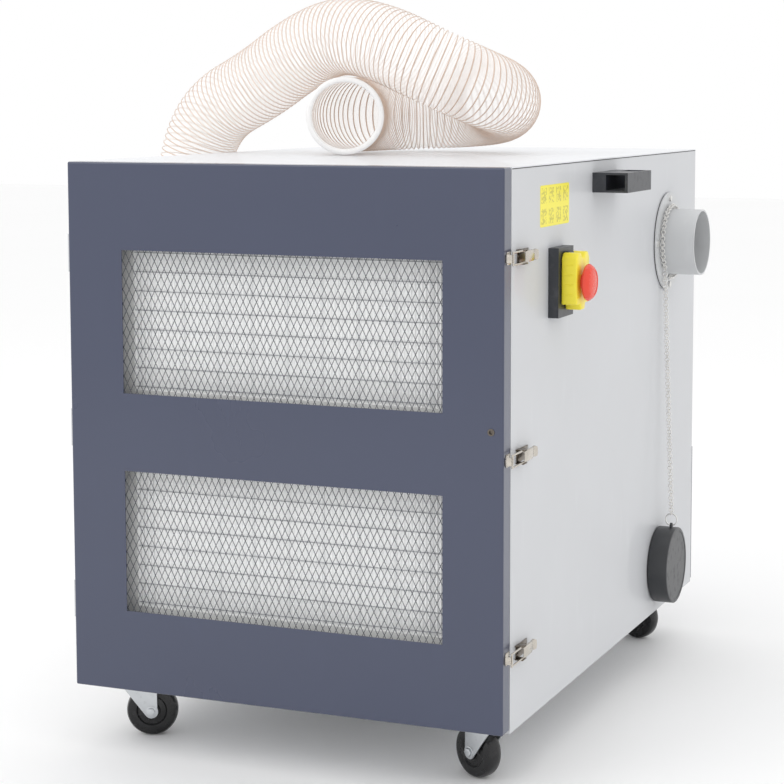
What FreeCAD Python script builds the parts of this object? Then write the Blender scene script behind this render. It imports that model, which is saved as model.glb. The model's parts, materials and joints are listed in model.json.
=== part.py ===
"""A mobile dust collector: a sheet-metal cabinet on four swivel castors. Dusty air comes in at the spigot on
the right side, drops its chips in the drawer at the rear, passes the prefilter cartridge and the fan, and leaves
through two pleated filters behind the expanded mesh of the door at the front.

Row frame: +Z up, floor at Z = 0, the door looks along -Y, the inlet is on the +X side. Millimetres.
"""
import FreeCAD, Part
import math
import os
import re

Vector = FreeCAD.Vector
doc = FreeCAD.newDocument("dust_collector")

# --------------------------------------------------------------------------------------------- driving sizes
SIZES = {
    # cabinet
    "cab_width": 610, "body_depth": 864, "body_height": 705, "castor_height": 82, "gauge": 1.5, "fold": 18,
    # door
    "door_depth": 24, "door_gap": 2, "door_lift": 4, "door_radius": 2.4, "door_lip": 14,
    "window_width": 450, "window_height": 188, "window_drop": 114, "window_pitch": 291,
    "mesh_gauge": 1, "mesh_margin": 14, "retainer_width": 12, "retainer_gauge": 1.2,
    "gasket_width": 10, "gasket_inset": 4, "running": 0.3, "fit": 0.05,
    "lock_radius": 4.5, "lock_inset": 16, "lock_drop": 322, "lock_proud": 0.8,
    # filters
    "filter_width": 486, "filter_height": 224, "filter_depth": 44, "filter_setback": 4, "filter_border": 18,
    "media_recess": 2, "carrier_ledge": 26, "rim_margin": 6,
    # door hinges
    "hinge_height": 50, "hinge_leaf": 2, "hinge_width": 18, "hinge_radius": 4, "hinge_pin": 2,
    "hinge_drop": 120, "hinge_pitch": 232,
    # toggle latches
    "latch_drop": 110, "latch_pitch": 248, "latch_plate": 1.5, "latch_start": 42, "latch_length": 54,
    "latch_height": 25, "ear_gauge": 1.5, "ear_inside": 9.1, "ear_length": 20, "ear_reach": 12,
    "pivot_out": 8, "pivot_back": 8, "pivot_radius": 1.5, "cheek_inside": 7.6, "cheek_gauge": 1.2,
    "lever_length": 44, "lever_web_start": 16, "lever_rise": 4.2, "bail_radius": 1.1, "bail_half": 5.2,
    "bail_below": 1.5, "bail_behind": 8, "bail_reach": 49, "bail_spread": 4.1,
    "keeper_start": 4, "keeper_length": 18, "keeper_height": 22, "keeper_lip": 8.8, "keeper_lip_back": 8,
    "keeper_hook": 2,
    # switch
    "switch_start": 165, "switch_width": 60, "switch_height": 90, "switch_depth": 14, "switch_drop": 108,
    "cover_width": 52, "cover_height": 70, "cover_depth": 22, "cover_wall": 2.5, "cover_radius": 7,
    "cover_drop": 12, "cover_axis_out": 4.5, "cover_axis_up": 3.6, "cover_boss": 3, "cover_lug": 4,
    "cover_boss_half": 10, "catch_radius": 7, "catch_length": 9,
    "mushroom_radius": 24, "mushroom_depth": 12.5, "mushroom_edge": 6, "stem_radius": 10, "mushroom_gap": 4.5,
    "stop_radius": 9, "stop_proud": 10, "start_radius": 8, "start_proud": 3, "start_rise": 19,
    "button_depth": 8, "button_travel": 4.5,
    # label
    "label_start": 132, "label_width": 115, "label_height": 53, "label_drop": 27, "label_gauge": 0.3,
    # carrying handle
    "handle_start": 348, "handle_length": 113, "handle_reach": 50, "handle_height": 27, "handle_drop": 18,
    "handle_root": 19, "handle_grip": 4, "handle_skin": 3, "handle_slot_start": 66, "handle_end": 8,
    # inlet
    "inlet_rear": 162, "inlet_drop": 137, "flange_radius": 75, "flange_gauge": 2, "spigot_radius": 50,
    "spigot_wall": 2.5, "spigot_reach": 55, "spigot_blend": 5, "seal_gauge": 1.5, "seal_inset": 1,
    "inlet_screw_circle": 66, "screw_radius": 2.4, "screw_head": 4.5, "screw_head_depth": 2.6,
    "screw_hole": 2.6, "screw_length": 12,
    # chain and cap
    "chain_out": 8, "link_radius": 3.3, "link_wire": 0.8, "link_pitch": 4.75, "ring_radius": 9,
    "ring_wire": 1, "loop_radius": 54.6, "loop_start": 226, "loop_gap": 34,
    "cap_radius": 58, "cap_bore": 50.5, "cap_depth": 30, "cap_end": 4, "cap_gap": 0.8, "cap_drop": 632,
    "ring_out": 22, "eyelet_width": 8, "eyelet_gauge": 3, "eyelet_reach": 7, "eyelet_hole": 2.2,
    # fan, motor and prefilter
    "partition_clear": 60, "fan_drop": 300, "inlet_eye": 80, "inlet_ring_depth": 12, "inlet_ring_wall": 2,
    "impeller_radius": 120, "impeller_width": 72, "impeller_gap": 12, "impeller_disc": 2.5, "hub_radius": 18,
    "blade_count": 9, "blade_gauge": 2, "blade_length": 62, "blade_angle": 35, "shroud_eye": 86,
    "shaft_radius": 7, "shaft_depth": 70, "shaft_hole": 14,
    "motor_radius": 68, "motor_length": 165, "motor_flange": 80, "motor_flange_depth": 8,
    "mount_gap": 126, "mount_size": 290, "mount_gauge": 3, "leg_radius": 8, "leg_inset": 14,
    "cartridge_radius": 108, "cartridge_bore": 78, "cartridge_length": 300, "cartridge_end": 4,
    # dust drawer at the rear
    "drawer_width": 560, "drawer_depth": 400, "drawer_height": 178, "drawer_gauge": 1.2, "drawer_lift": 1,
    "front_proud": 8, "front_height": 217, "front_lift": 5, "front_inset": 1, "opening_margin": 4,
    "pull_width": 120, "pull_reach": 30, "pull_radius": 5, "post_radius": 4, "pull_rise": 110,
    "brace_pitch": 300, "runner_ledge": 15, "runner_height": 45,
    # castors
    "castor_side": 48, "castor_front": 80, "castor_rear": 78, "plate_size": 60, "plate_gauge": 2.5,
    "bolt_spacing": 44, "bolt_radius": 2.9, "bolt_head": 5, "bolt_head_depth": 2,
    "wheel_radius": 35, "wheel_width": 24, "wheel_round": 6, "axle_radius": 4, "trail": 20,
    "fork_gap": 1.5, "fork_gauge": 2.5, "fork_width": 26, "race_radius": 18, "kingpin_radius": 5,
    "nut_radius": 6, "nut_depth": 3,
    "yaw_front_left": 22, "yaw_front_right": 152, "yaw_rear_left": 70, "yaw_rear_right": 160,
    # rear fastenings and cable gland
    "rear_screw_inset": 9, "gland_radius": 10, "gland_bore": 4, "gland_reach": 14, "gland_side": 200,
    "gland_drop": 90,
    # suction hose
    "hose_radius": 56.5, "hose_bore": 53,
}

sheet = doc.addObject("Spreadsheet::Sheet", "sizes")
for row, (name, value) in enumerate(SIZES.items(), 1):
    sheet.set(f"A{row}", name)
    sheet.set(f"B{row}", str(value))
    sheet.setAlias(f"B{row}", name)
doc.recompute()


def size(name):
    """A driving size as the sheet holds it."""
    return float(sheet.get(name))


def bound(expression):
    """An expression in which each driving size is read from the sheet."""
    return re.sub(r"[a-z_]+", lambda word: f"sizes.{word[0]}" if word[0] in SIZES else word[0], str(expression))


def worked(expression):
    """The value of an expression in the driving sizes, for shapes that are set directly."""
    probe = doc.getObject("probe") or doc.addObject("App::FeaturePython", "probe")
    if not hasattr(probe, "Result"):
        probe.addProperty("App::PropertyFloat", "Result")
    probe.setExpression("Result", bound(expression))
    probe.recompute()
    return probe.Result


# ------------------------------------------------------------------------------------------ reference planes
REACH = "(spigot_reach)"  # what stands out furthest from the right panel
HINGE_REACH = "(2 * hinge_radius + running)"
MIDDLE = f"(({HINGE_REACH} - {REACH}) / 2)"  # the cabinet's middle plane
LEFT = f"({MIDDLE} - cab_width / 2)"
RIGHT = f"({MIDDLE} + cab_width / 2)"
INSIDE = "(cab_width - 2 * gauge)"  # between the side panels
DOOR = "(-(door_depth + door_gap + body_depth + front_proud + pull_reach - lock_proud) / 2)"  # the door's face
BODY = f"({DOOR} + door_depth + door_gap)"  # the cabinet's front plane
REAR = f"({BODY} + body_depth)"
BASE = "(castor_height)"  # the underside of the cabinet
TOP = "(castor_height + body_height)"
FLOOR = f"({BASE} + gauge)"
INLET = f"({REAR} - inlet_rear)"  # the inlet's axis
DOOR_BASE = f"({BASE} + door_lift)"
DOOR_HEIGHT = "(body_height - door_lift)"

pieces = []


def put(thing, place, axis=None, turn=None):
    """Places an object: three expressions, then a turn about an axis through that place."""
    if axis is not None:
        thing.Placement = FreeCAD.Placement(Vector(), FreeCAD.Rotation(Vector(*axis), 90))
        thing.setExpression("Placement.Rotation.Angle", bound(turn))
    for letter, value in zip("xyz", place, strict=True):
        thing.setExpression(f"Placement.Base.{letter}", bound(value))
    return thing


def block(place, extent):
    """A block from its lowest corner and its extents along X, Y and Z."""
    thing = doc.addObject("Part::Box", "block")
    for prop, value in zip(("Length", "Width", "Height"), extent, strict=True):
        thing.setExpression(prop, bound(value))
    return put(thing, place)


DIRECTIONS = {"x": ((0, 1, 0), 90), "y": ((1, 0, 0), -90), "z": (None, None)}


def rod(place, radius, length, along="z"):
    """A cylinder that starts at a place and runs along +X, +Y or +Z."""
    thing = doc.addObject("Part::Cylinder", "rod")
    thing.setExpression("Radius", bound(radius))
    thing.setExpression("Height", bound(length))
    return put(thing, place, *DIRECTIONS[along])


def combined(kind, name, shapes):
    thing = doc.addObject(kind, name)
    if kind == "Part::Compound":
        thing.Links = shapes
    else:
        thing.Shapes = shapes
    return thing


def fused(*shapes):
    return combined("Part::MultiFuse", "fused", list(shapes))


def cut(base, *tools):
    thing = doc.addObject("Part::Cut", "cut")
    thing.Base = base
    thing.Tool = tools[0] if len(tools) == 1 else combined("Part::Compound", "tools", list(tools))
    return thing


def rounded(base, radius, chosen):
    """Base with the edges that chosen(edge) picks rounded to a driving size."""
    doc.recompute()
    thing = doc.addObject("Part::Fillet", "rounded")
    thing.Base = base
    picked = [i for i, edge in enumerate(base.Shape.Edges, 1) if chosen(edge)]
    thing.Edges = [(i, size(radius), size(radius)) for i in picked]
    return thing


def piece(label, *shapes):
    """Names a sub-part: one object, or several separate solids in one group."""
    thing = shapes[0] if len(shapes) == 1 else combined("Part::Compound", label, list(shapes))
    thing.Label = label
    pieces.append(thing)
    return thing


def from_shape(shape):
    thing = doc.addObject("Part::Feature", "shape")
    thing.Shape = shape
    return thing


# ------------------------------------------------------------------------------------------------- cabinet
def cabinet():
    piece("base_pan", fused(
        block((f"{LEFT} + gauge", BODY, BASE), (INSIDE, "body_depth", "gauge")),
        block((f"{LEFT} + gauge", BODY, BASE), (INSIDE, "gauge", "fold")),
        block((f"{LEFT} + gauge", f"{REAR} - gauge", BASE), (INSIDE, "gauge", "fold"))))
    lid_fold = f"{TOP} - fold"
    piece("top_panel", fused(
        block((LEFT, BODY, f"{TOP} - gauge"), ("cab_width", "body_depth", "gauge")),
        block((f"{LEFT} + gauge", BODY, lid_fold), (INSIDE, "gauge", "fold")),
        block((f"{LEFT} + gauge", f"{REAR} - gauge", lid_fold), (INSIDE, "gauge", "fold"))))
    side = ("gauge", "body_depth", "body_height - gauge")
    piece("left_side_panel", block((LEFT, BODY, BASE), side))
    inlet = (f"{RIGHT} - 2 * gauge", INLET, f"{TOP} - inlet_drop")
    holes = [rod(inlet, "spigot_radius + running", "4 * gauge", "x")]
    holes += [rod(place, "screw_hole", "4 * gauge", "x") for place in inlet_screw_places(f"{RIGHT} - 2 * gauge")]
    piece("right_side_panel", cut(block((f"{RIGHT} - gauge", BODY, BASE), side), *holes))

    between = ("gauge", "body_height - 2 * fold")
    rim_width = "(filter_width + 2 * rim_margin)"
    rim_base = f"({TOP} - window_drop - window_pitch - window_height / 2 - filter_height / 2 - rim_margin)"
    rim_height = "(window_pitch + filter_height + 2 * rim_margin)"
    rim_mouth = block((f"{MIDDLE} - {rim_width} / 2", f"{BODY} - gauge", rim_base),
                      (rim_width, "3 * gauge", rim_height))
    piece("front_frame", cut(block((f"{LEFT} + gauge", BODY, f"{BASE} + fold"), (INSIDE, *between)), rim_mouth))
    opening_width = "(drawer_width + 2 * opening_margin)"
    opening_height = "(drawer_height + drawer_lift + opening_margin)"
    gland = (f"{MIDDLE} - gland_side", f"{REAR} - 2 * gauge", f"{TOP} - gland_drop")
    holes = [block((f"{MIDDLE} - {opening_width} / 2", f"{REAR} - 2 * gauge", f"{BASE} + fold - gauge"),
                   (opening_width, "3 * gauge", f"{opening_height} + gauge")),
             rod(gland, "gland_radius / 2", "3 * gauge", "y")]
    holes += [rod((x, f"{REAR} - 2 * gauge", z), "screw_hole", "3 * gauge", "y") for x, z in rear_screw_places()]
    piece("rear_panel", cut(block((f"{LEFT} + gauge", f"{REAR} - gauge", f"{BASE} + fold"), (INSIDE, *between)),
                            *holes))


def rear_screw_places():
    low = f"{BASE} + front_lift + front_height + fold + rear_screw_inset"
    high = f"{TOP} - fold - rear_screw_inset"
    left, right = f"{LEFT} + gauge + rear_screw_inset", f"{RIGHT} - gauge - rear_screw_inset"
    return [(x, z) for x in (left, right) for z in (low, f"({low} + {high}) / 2", high)] + [(MIDDLE, high)]


def rear_fastenings():
    def screw(x, z):
        return fused(rod((x, REAR, z), "screw_head", "screw_head_depth", "y"),
                     rod((x, f"{REAR} - screw_length / 2", z), "screw_radius", "screw_length / 2", "y"))

    piece("rear_screws", *[screw(x, z) for x, z in rear_screw_places()])
    x, z = f"{MIDDLE} - gland_side", f"{TOP} - gland_drop"
    piece("cable_gland", cut(
        fused(rod((x, REAR, z), "gland_radius", "gland_reach", "y"),
              rod((x, f"{REAR} - gland_reach / 2", z), "gland_radius / 2 - fit", "gland_reach / 2", "y")),
        rod((x, f"{REAR} - gland_reach", z), "gland_bore", "3 * gland_reach", "y")))


# ----------------------------------------------------------------------------------------- filters and door
WINDOW_LOW = [f"({TOP} - window_drop - window_height)", f"({TOP} - window_drop - window_height - window_pitch)"]


def around_window(low, width, height, y, depth):
    """A block centred on a window."""
    return block((f"{MIDDLE} - ({width}) / 2", y, f"{low} + (window_height - ({height})) / 2"),
                 (width, depth, height))


def filters():
    front = f"{BODY} + filter_setback"
    back = f"({front} + filter_depth)"
    frames, media, shelves, openings = [], [], [], []
    clear_width, clear_height = "(filter_width - 2 * filter_border)", "(filter_height - 2 * filter_border)"
    for low in WINDOW_LOW:
        frames.append(cut(
            around_window(low, "filter_width", "filter_height", front, "filter_depth"),
            around_window(low, clear_width, clear_height, f"{front} - gauge", "filter_depth + 2 * gauge")))
        media.append(around_window(low, clear_width, clear_height, f"{front} + media_recess",
                                   "filter_depth - 2 * media_recess"))
        shelf_z = f"{low} + (window_height - filter_height) / 2 - gauge"
        shelves.append(block((f"{MIDDLE} - filter_width / 2", f"{back} - carrier_ledge", shelf_z),
                             ("filter_width", "carrier_ledge", "gauge")))
        openings.append(around_window(low, clear_width, clear_height, f"{back} - gauge", "4 * gauge"))
    piece("filter_frames", *frames)
    piece("filter_media", *media)
    plate = block((f"{LEFT} + gauge", back, FLOOR), (INSIDE, "gauge", "body_height - 2 * gauge"))
    piece("filter_carrier", cut(fused(plate, *shelves), *openings))


def door():
    inner = "(cab_width - 2 * gauge)"
    inner_height = f"({DOOR_HEIGHT} - 2 * gauge)"
    face = block((LEFT, DOOR, DOOR_BASE), ("cab_width", "door_depth", DOOR_HEIGHT))
    low_y, high_y = worked(DOOR), worked(f"{DOOR} + door_depth")

    def on_rim(edge):
        """The four edges of the door's face and its four upright and level corners."""
        box = edge.BoundBox
        return box.YMin < low_y + 0.01 and box.YMax < high_y + 0.01

    pan = cut(rounded(face, "door_radius", on_rim),
              block((f"{LEFT} + gauge", f"{DOOR} + gauge", f"{DOOR_BASE} + gauge"),
                    (inner, "door_depth - 2 * gauge", inner_height)),
              block((f"{LEFT} + door_lip", f"{DOOR} + gauge", f"{DOOR_BASE} + door_lip"),
                    ("cab_width - 2 * door_lip", "door_depth", f"{DOOR_HEIGHT} - 2 * door_lip")))
    windows = [around_window(low, "window_width", "window_height", f"{DOOR} - gauge", "3 * gauge")
               for low in WINDOW_LOW]
    lock = (f"{RIGHT} - lock_inset", f"{DOOR} - gauge", f"{TOP} - lock_drop")
    piece("door_shell", cut(pan, *windows, rod(lock, "lock_radius - 1", "3 * gauge", "y")))
    piece("door_lock", cut(
        fused(rod((lock[0], f"{DOOR} - lock_proud", lock[2]), "lock_radius", "lock_proud", "y"),
              rod((lock[0], DOOR, lock[2]), "lock_radius - 1 - fit", "door_depth / 2", "y")),
        rod((lock[0], f"{DOOR} - gauge", lock[2]), "lock_radius - 2", "2 * gauge", "y")))

    behind = f"({DOOR} + gauge)"
    wide, tall = "(window_width + 2 * mesh_margin)", "(window_height + 2 * mesh_margin)"
    piece("door_grilles", *[around_window(low, wide, tall, behind, "mesh_gauge") for low in WINDOW_LOW])
    piece("grille_retainers", *[cut(
        around_window(low, wide, tall, f"{behind} + mesh_gauge", "retainer_gauge"),
        around_window(low, f"{wide} - 2 * retainer_width", f"{tall} - 2 * retainer_width", behind, "3 * gauge"))
        for low in WINDOW_LOW])
    seal_y, seal_depth = f"{DOOR} + door_depth", "door_gap - running"
    piece("door_gasket", cut(
        block((f"{LEFT} + gasket_inset", seal_y, f"{DOOR_BASE} + gasket_inset"),
              ("cab_width - 2 * gasket_inset", seal_depth, f"{DOOR_HEIGHT} - 2 * gasket_inset")),
        block((f"{LEFT} + gasket_inset + gasket_width", DOOR, f"{DOOR_BASE} + gasket_inset + gasket_width"),
              ("cab_width - 2 * (gasket_inset + gasket_width)", "2 * door_depth",
               f"{DOOR_HEIGHT} - 2 * (gasket_inset + gasket_width)"))))


HINGE_X = f"({LEFT} - hinge_radius - running)"
HINGE_Y = f"({BODY} - door_gap / 2)"


def door_hinges():
    """Lift-off hinges: the door's knuckle sits on the cabinet's, round the same pin."""
    door_leaves, cabinet_leaves = [], []
    leaf_x, clear = f"{LEFT} - hinge_leaf", "(hinge_radius + 2 * running)"
    knuckle = "(hinge_height / 2 - running)"
    for number in range(3):
        low = f"({TOP} - hinge_drop - {number} * hinge_pitch - hinge_height / 2)"
        upper = f"({low} + hinge_height - {knuckle})"
        leaf_y = f"{HINGE_Y} - {clear} - hinge_width"
        door_leaves.append(cut(
            fused(block((leaf_x, leaf_y, low), ("hinge_leaf", "hinge_width", "hinge_height")),
                  block((leaf_x, f"{HINGE_Y} - {clear}", upper), ("hinge_leaf", clear, knuckle)),
                  rod((HINGE_X, HINGE_Y, upper), "hinge_radius", knuckle)),
            rod((HINGE_X, HINGE_Y, low), "hinge_pin + fit", "2 * hinge_height")))
        cabinet_leaves.append(fused(
            block((leaf_x, f"{HINGE_Y} + {clear}", low), ("hinge_leaf", "hinge_width", "hinge_height")),
            block((leaf_x, HINGE_Y, low), ("hinge_leaf", clear, knuckle)),
            rod((HINGE_X, HINGE_Y, low), "hinge_radius", knuckle),
            rod((HINGE_X, HINGE_Y, low), "hinge_pin", "hinge_height")))
    piece("door_hinge_leaves", *door_leaves)
    piece("cabinet_hinge_leaves", *cabinet_leaves)


# --------------------------------------------------------------------------------------------- toggle latches
def latches():
    """Three toggle latches: a base with two ears, a channel lever and a wire bail that reaches the keeper."""
    bases, keepers = [], []
    start = f"({DOOR} + latch_start)"
    pivot = (f"({RIGHT} + pivot_out)", f"({start} + pivot_back)")
    bail = (f"({pivot[0]} - bail_below)", f"({pivot[1]} + bail_behind)")
    for number, level in enumerate(("top", "middle", "bottom")):
        z = f"({TOP} - latch_drop - {number} * latch_pitch)"
        plate = block((RIGHT, start, f"{z} - latch_height / 2"), ("latch_plate", "latch_length", "latch_height"))
        ears = []
        for low in (f"{z} - ear_inside - ear_gauge", f"{z} + ear_inside"):
            ears.append(block((RIGHT, start, low), ("ear_reach", "ear_length", "ear_gauge")))
        stubs = []
        for low in (f"{z} - ear_inside", f"{z} + cheek_inside"):
            stubs.append(rod((*pivot, low), "pivot_radius", "ear_inside - cheek_inside"))
        bases.append(fused(plate, *ears, *stubs))

        cheeks = []
        lever_depth = "(pivot_radius + 2 + lever_rise)"
        for low in (f"{z} - cheek_inside - cheek_gauge", f"{z} + cheek_inside"):
            cheeks.append(block((f"{pivot[0]} + lever_rise - {lever_depth}", f"{pivot[1]} - 4", low),
                                (lever_depth, "lever_length + 4", "cheek_gauge")))
        web = block((f"{pivot[0]} + lever_rise - cheek_gauge", f"{pivot[1]} + lever_web_start",
                     f"{z} - cheek_inside - cheek_gauge"),
                    ("cheek_gauge", "lever_length - lever_web_start", "2 * (cheek_inside + cheek_gauge)"))
        low = f"{z} - latch_height"
        piece(f"latch_lever_{level}", cut(
            fused(*cheeks, web),
            rod((*pivot, low), "pivot_radius + fit", "2 * latch_height"),
            rod((*bail, low), "bail_radius + fit", "2 * latch_height")))

        tilt = math.degrees(math.atan2(size("bail_spread"), size("bail_reach")))
        arm = math.hypot(size("bail_spread"), size("bail_reach"))
        wires = []
        for side in (-1, 1):
            wire = doc.addObject("Part::Cylinder", "wire")
            wire.setExpression("Radius", bound("bail_radius"))
            wire.Height = arm
            wire.Placement = FreeCAD.Placement(Vector(), FreeCAD.Rotation(
                Vector(0, 0, 1), Vector(math.sin(math.radians(tilt)), -math.cos(math.radians(tilt)), 0)))
            for letter, value in zip("xyz", (*bail, f"{z} + {side} * bail_half"), strict=True):
                wire.setExpression(f"Placement.Base.{letter}", bound(value))
            wires.append(wire)
        front = (f"{bail[0]} + bail_spread", f"{bail[1]} - bail_reach")
        piece(f"latch_bail_{level}", fused(
            *wires, rod((*bail, f"{z} - cheek_inside - cheek_gauge"), "bail_radius",
                        "2 * (cheek_inside + cheek_gauge)"),
            rod((*front, f"{z} - bail_half - bail_radius"), "bail_radius", "2 * (bail_half + bail_radius)")))

        catch = f"({DOOR} + keeper_start)"
        lip = f"({catch} + keeper_lip_back)"
        width = "(2 * (bail_half + bail_radius))"
        keepers.append(fused(
            block((RIGHT, catch, f"{z} - keeper_height / 2"), ("latch_plate", "keeper_length", "keeper_height")),
            block((RIGHT, lip, f"{z} - {width} / 2"), ("keeper_lip", "latch_plate", width)),
            block((f"{RIGHT} + keeper_lip - latch_plate", f"{lip} - keeper_hook", f"{z} - {width} / 2"),
                  ("latch_plate", "keeper_hook", width))))
    piece("latch_bases", *bases)
    piece("latch_keepers", *keepers)


# ----------------------------------------------------------------------------------------------------- switch
def switch():
    base_y, base_z = f"({DOOR} + switch_start)", f"({TOP} - switch_drop - switch_height)"
    middle_y = f"({base_y} + switch_width / 2)"
    centre_z = f"({base_z} + switch_height / 2)"
    face = f"({RIGHT} + switch_depth)"
    cover_x, cover_top = f"({face} + running)", f"({TOP} - switch_drop - cover_drop)"
    axis = (f"({cover_x} + cover_axis_out)", f"({cover_top} + cover_axis_up)")
    start_z = f"{centre_z} + start_rise"
    boss = fused(
        rod((axis[0], f"{middle_y} - cover_boss_half", axis[1]), "cover_boss", "2 * cover_boss_half", "y"),
        block((face, f"{middle_y} - cover_boss_half", f"{axis[1]} - cover_boss"),
              (f"{axis[0]} - {face}", "2 * cover_boss_half", "2 * cover_boss")),
        rod((axis[0], f"{middle_y} - cover_boss_half - cover_lug", axis[1]), "cover_boss / 2",
            "2 * (cover_boss_half + cover_lug)", "y"))
    body = block((RIGHT, base_y, base_z), ("switch_depth", "switch_width", "switch_height"))
    floor = f"{face} - button_depth - button_travel"
    wells = [rod((floor, middle_y, z), f"{radius} + running", "2 * switch_depth", "x")
             for z, radius in ((centre_z, "stop_radius"), (start_z, "start_radius"))]
    piece("switch_base", fused(cut(body, *wells), boss))
    piece("stop_button", rod((f"{face} - button_depth", middle_y, centre_z), "stop_radius",
                             "button_depth + stop_proud", "x"))
    piece("start_button", rod((f"{face} - button_depth", middle_y, start_z), "start_radius",
                              "button_depth + start_proud", "x"))

    low_z = f"({cover_top} - cover_height)"
    shell = block((cover_x, f"{middle_y} - cover_width / 2", low_z),
                  ("cover_depth", "cover_width", "cover_height"))
    back = worked(cover_x)
    shell = rounded(shell, "cover_radius", lambda edge: edge.BoundBox.XMin > back + 0.01
                    or edge.BoundBox.XLength > 1)
    hollow = block((f"{face} - running", f"{middle_y} - cover_width / 2 + cover_wall", f"{low_z} + cover_wall"),
                   ("cover_depth + 2 * running - cover_wall", "cover_width - 2 * cover_wall",
                    "cover_height - 2 * cover_wall"))
    stem_hole = rod((cover_x, middle_y, centre_z), "stem_radius + running", "2 * cover_depth", "x")
    lugs = []
    for low in (f"{middle_y} - cover_boss_half - cover_lug", f"{middle_y} + cover_boss_half + running"):
        lugs.append(fused(
            rod((axis[0], low, axis[1]), "cover_boss", "cover_lug - running", "y"),
            block((f"{axis[0]} - cover_boss", low, f"{cover_top} - cover_radius"),
                  ("2 * cover_boss", "cover_lug - running", "cover_radius + cover_axis_up"))))
    pin = rod((axis[0], f"{middle_y} - cover_width", axis[1]), "cover_boss / 2 + fit", "2 * cover_width", "y")
    catch = rod((f"{cover_x} + cover_depth / 2", f"{middle_y} + cover_width / 2 - fit", centre_z),
                "catch_radius", "catch_length", "y")
    piece("switch_cover", cut(fused(cut(shell, hollow, stem_hole), *lugs, catch), pin))

    head_x = f"({cover_x} + cover_depth + mushroom_gap)"
    stem_x = f"({face} + stop_proud + button_travel)"
    head = rod((head_x, middle_y, centre_z), "mushroom_radius", "mushroom_depth", "x")
    outer = worked(f"{head_x} + mushroom_depth")
    head = rounded(head, "mushroom_edge", lambda edge: edge.BoundBox.XMin > outer - 0.01)
    piece("stop_mushroom", fused(head, rod((stem_x, middle_y, centre_z), "stem_radius", f"{head_x} - {stem_x}",
                                           "x")))
    piece("safety_label", block((RIGHT, f"{DOOR} + label_start", f"{TOP} - label_drop - label_height"),
                                ("label_gauge", "label_width", "label_height")))


def handle():
    y, z = f"({DOOR} + handle_start)", f"({TOP} - handle_drop - handle_height)"
    gap_x, gap = f"{RIGHT} + handle_root", "handle_reach - handle_root - handle_grip"
    piece("carry_handle", cut(
        block((RIGHT, y, z), ("handle_reach", "handle_length", "handle_height")),
        block((gap_x, f"{y} - handle_end", f"{z} + handle_skin"),
              (gap, "handle_length", "handle_height - 2 * handle_skin")),
        block((gap_x, f"{y} + handle_slot_start", f"{z} + handle_skin"),
              (gap, "handle_length - handle_slot_start - handle_end", "handle_height"))))


# ------------------------------------------------------------------------------------------- inlet, chain, cap
def inlet_screw_places(x):
    """The screws at the flange's top, bottom and two sides."""
    y, z, out = INLET, f"({TOP} - inlet_drop)", "inlet_screw_circle"
    return [(x, y, f"{z} + {out}"), (x, y, f"{z} - {out}"), (x, f"{y} + {out}", z), (x, f"{y} - {out}", z)]


def inlet():
    y, z = INLET, f"({TOP} - inlet_drop)"
    seal_x, flange_x = RIGHT, f"({RIGHT} + seal_gauge)"
    holes = [rod(place, "screw_hole", "spigot_reach", "x") for place in inlet_screw_places(f"{RIGHT} - gauge")]
    piece("inlet_gasket", cut(rod((seal_x, y, z), "flange_radius - seal_inset", "seal_gauge", "x"),
                              rod((f"{seal_x} - gauge", y, z), "spigot_radius + running", "3 * seal_gauge", "x"),
                              *holes))
    body = fused(rod((flange_x, y, z), "flange_radius", "flange_gauge", "x"),
                 rod((flange_x, y, z), "spigot_radius", "spigot_reach - seal_gauge", "x"))
    root = worked(f"{flange_x} + flange_gauge")
    body = rounded(body, "spigot_blend", lambda edge: abs(edge.BoundBox.XMax - root) < 0.01
                   and abs(edge.BoundBox.ZLength - 2 * size("spigot_radius")) < 0.01 and edge.Closed)
    holes = [rod(place, "screw_hole", "flange_gauge + 2 * gauge + seal_gauge", "x")
             for place in inlet_screw_places(f"{RIGHT} - gauge")]
    bore = rod((f"{RIGHT} - gauge", y, z), "spigot_radius - spigot_wall", "2 * spigot_reach", "x")
    piece("inlet_spigot", cut(body, bore, *holes))
    head_x = f"({flange_x} + flange_gauge)"
    piece("inlet_screws", *[fused(
        rod(place, "screw_head", "screw_head_depth", "x"),
        rod((f"{head_x} - screw_length", *place[1:]), "screw_radius", "screw_length", "x"))
        for place in inlet_screw_places(head_x)])


CHAIN_Y = f"({INLET} + loop_radius * cos(loop_start))"
CAP_Z = f"({TOP} - cap_drop)"
RING_X = f"({RIGHT} + ring_out)"
EYELET_Z = f"({CAP_Z} + cap_radius + eyelet_reach - 2 * eyelet_hole)"


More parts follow.
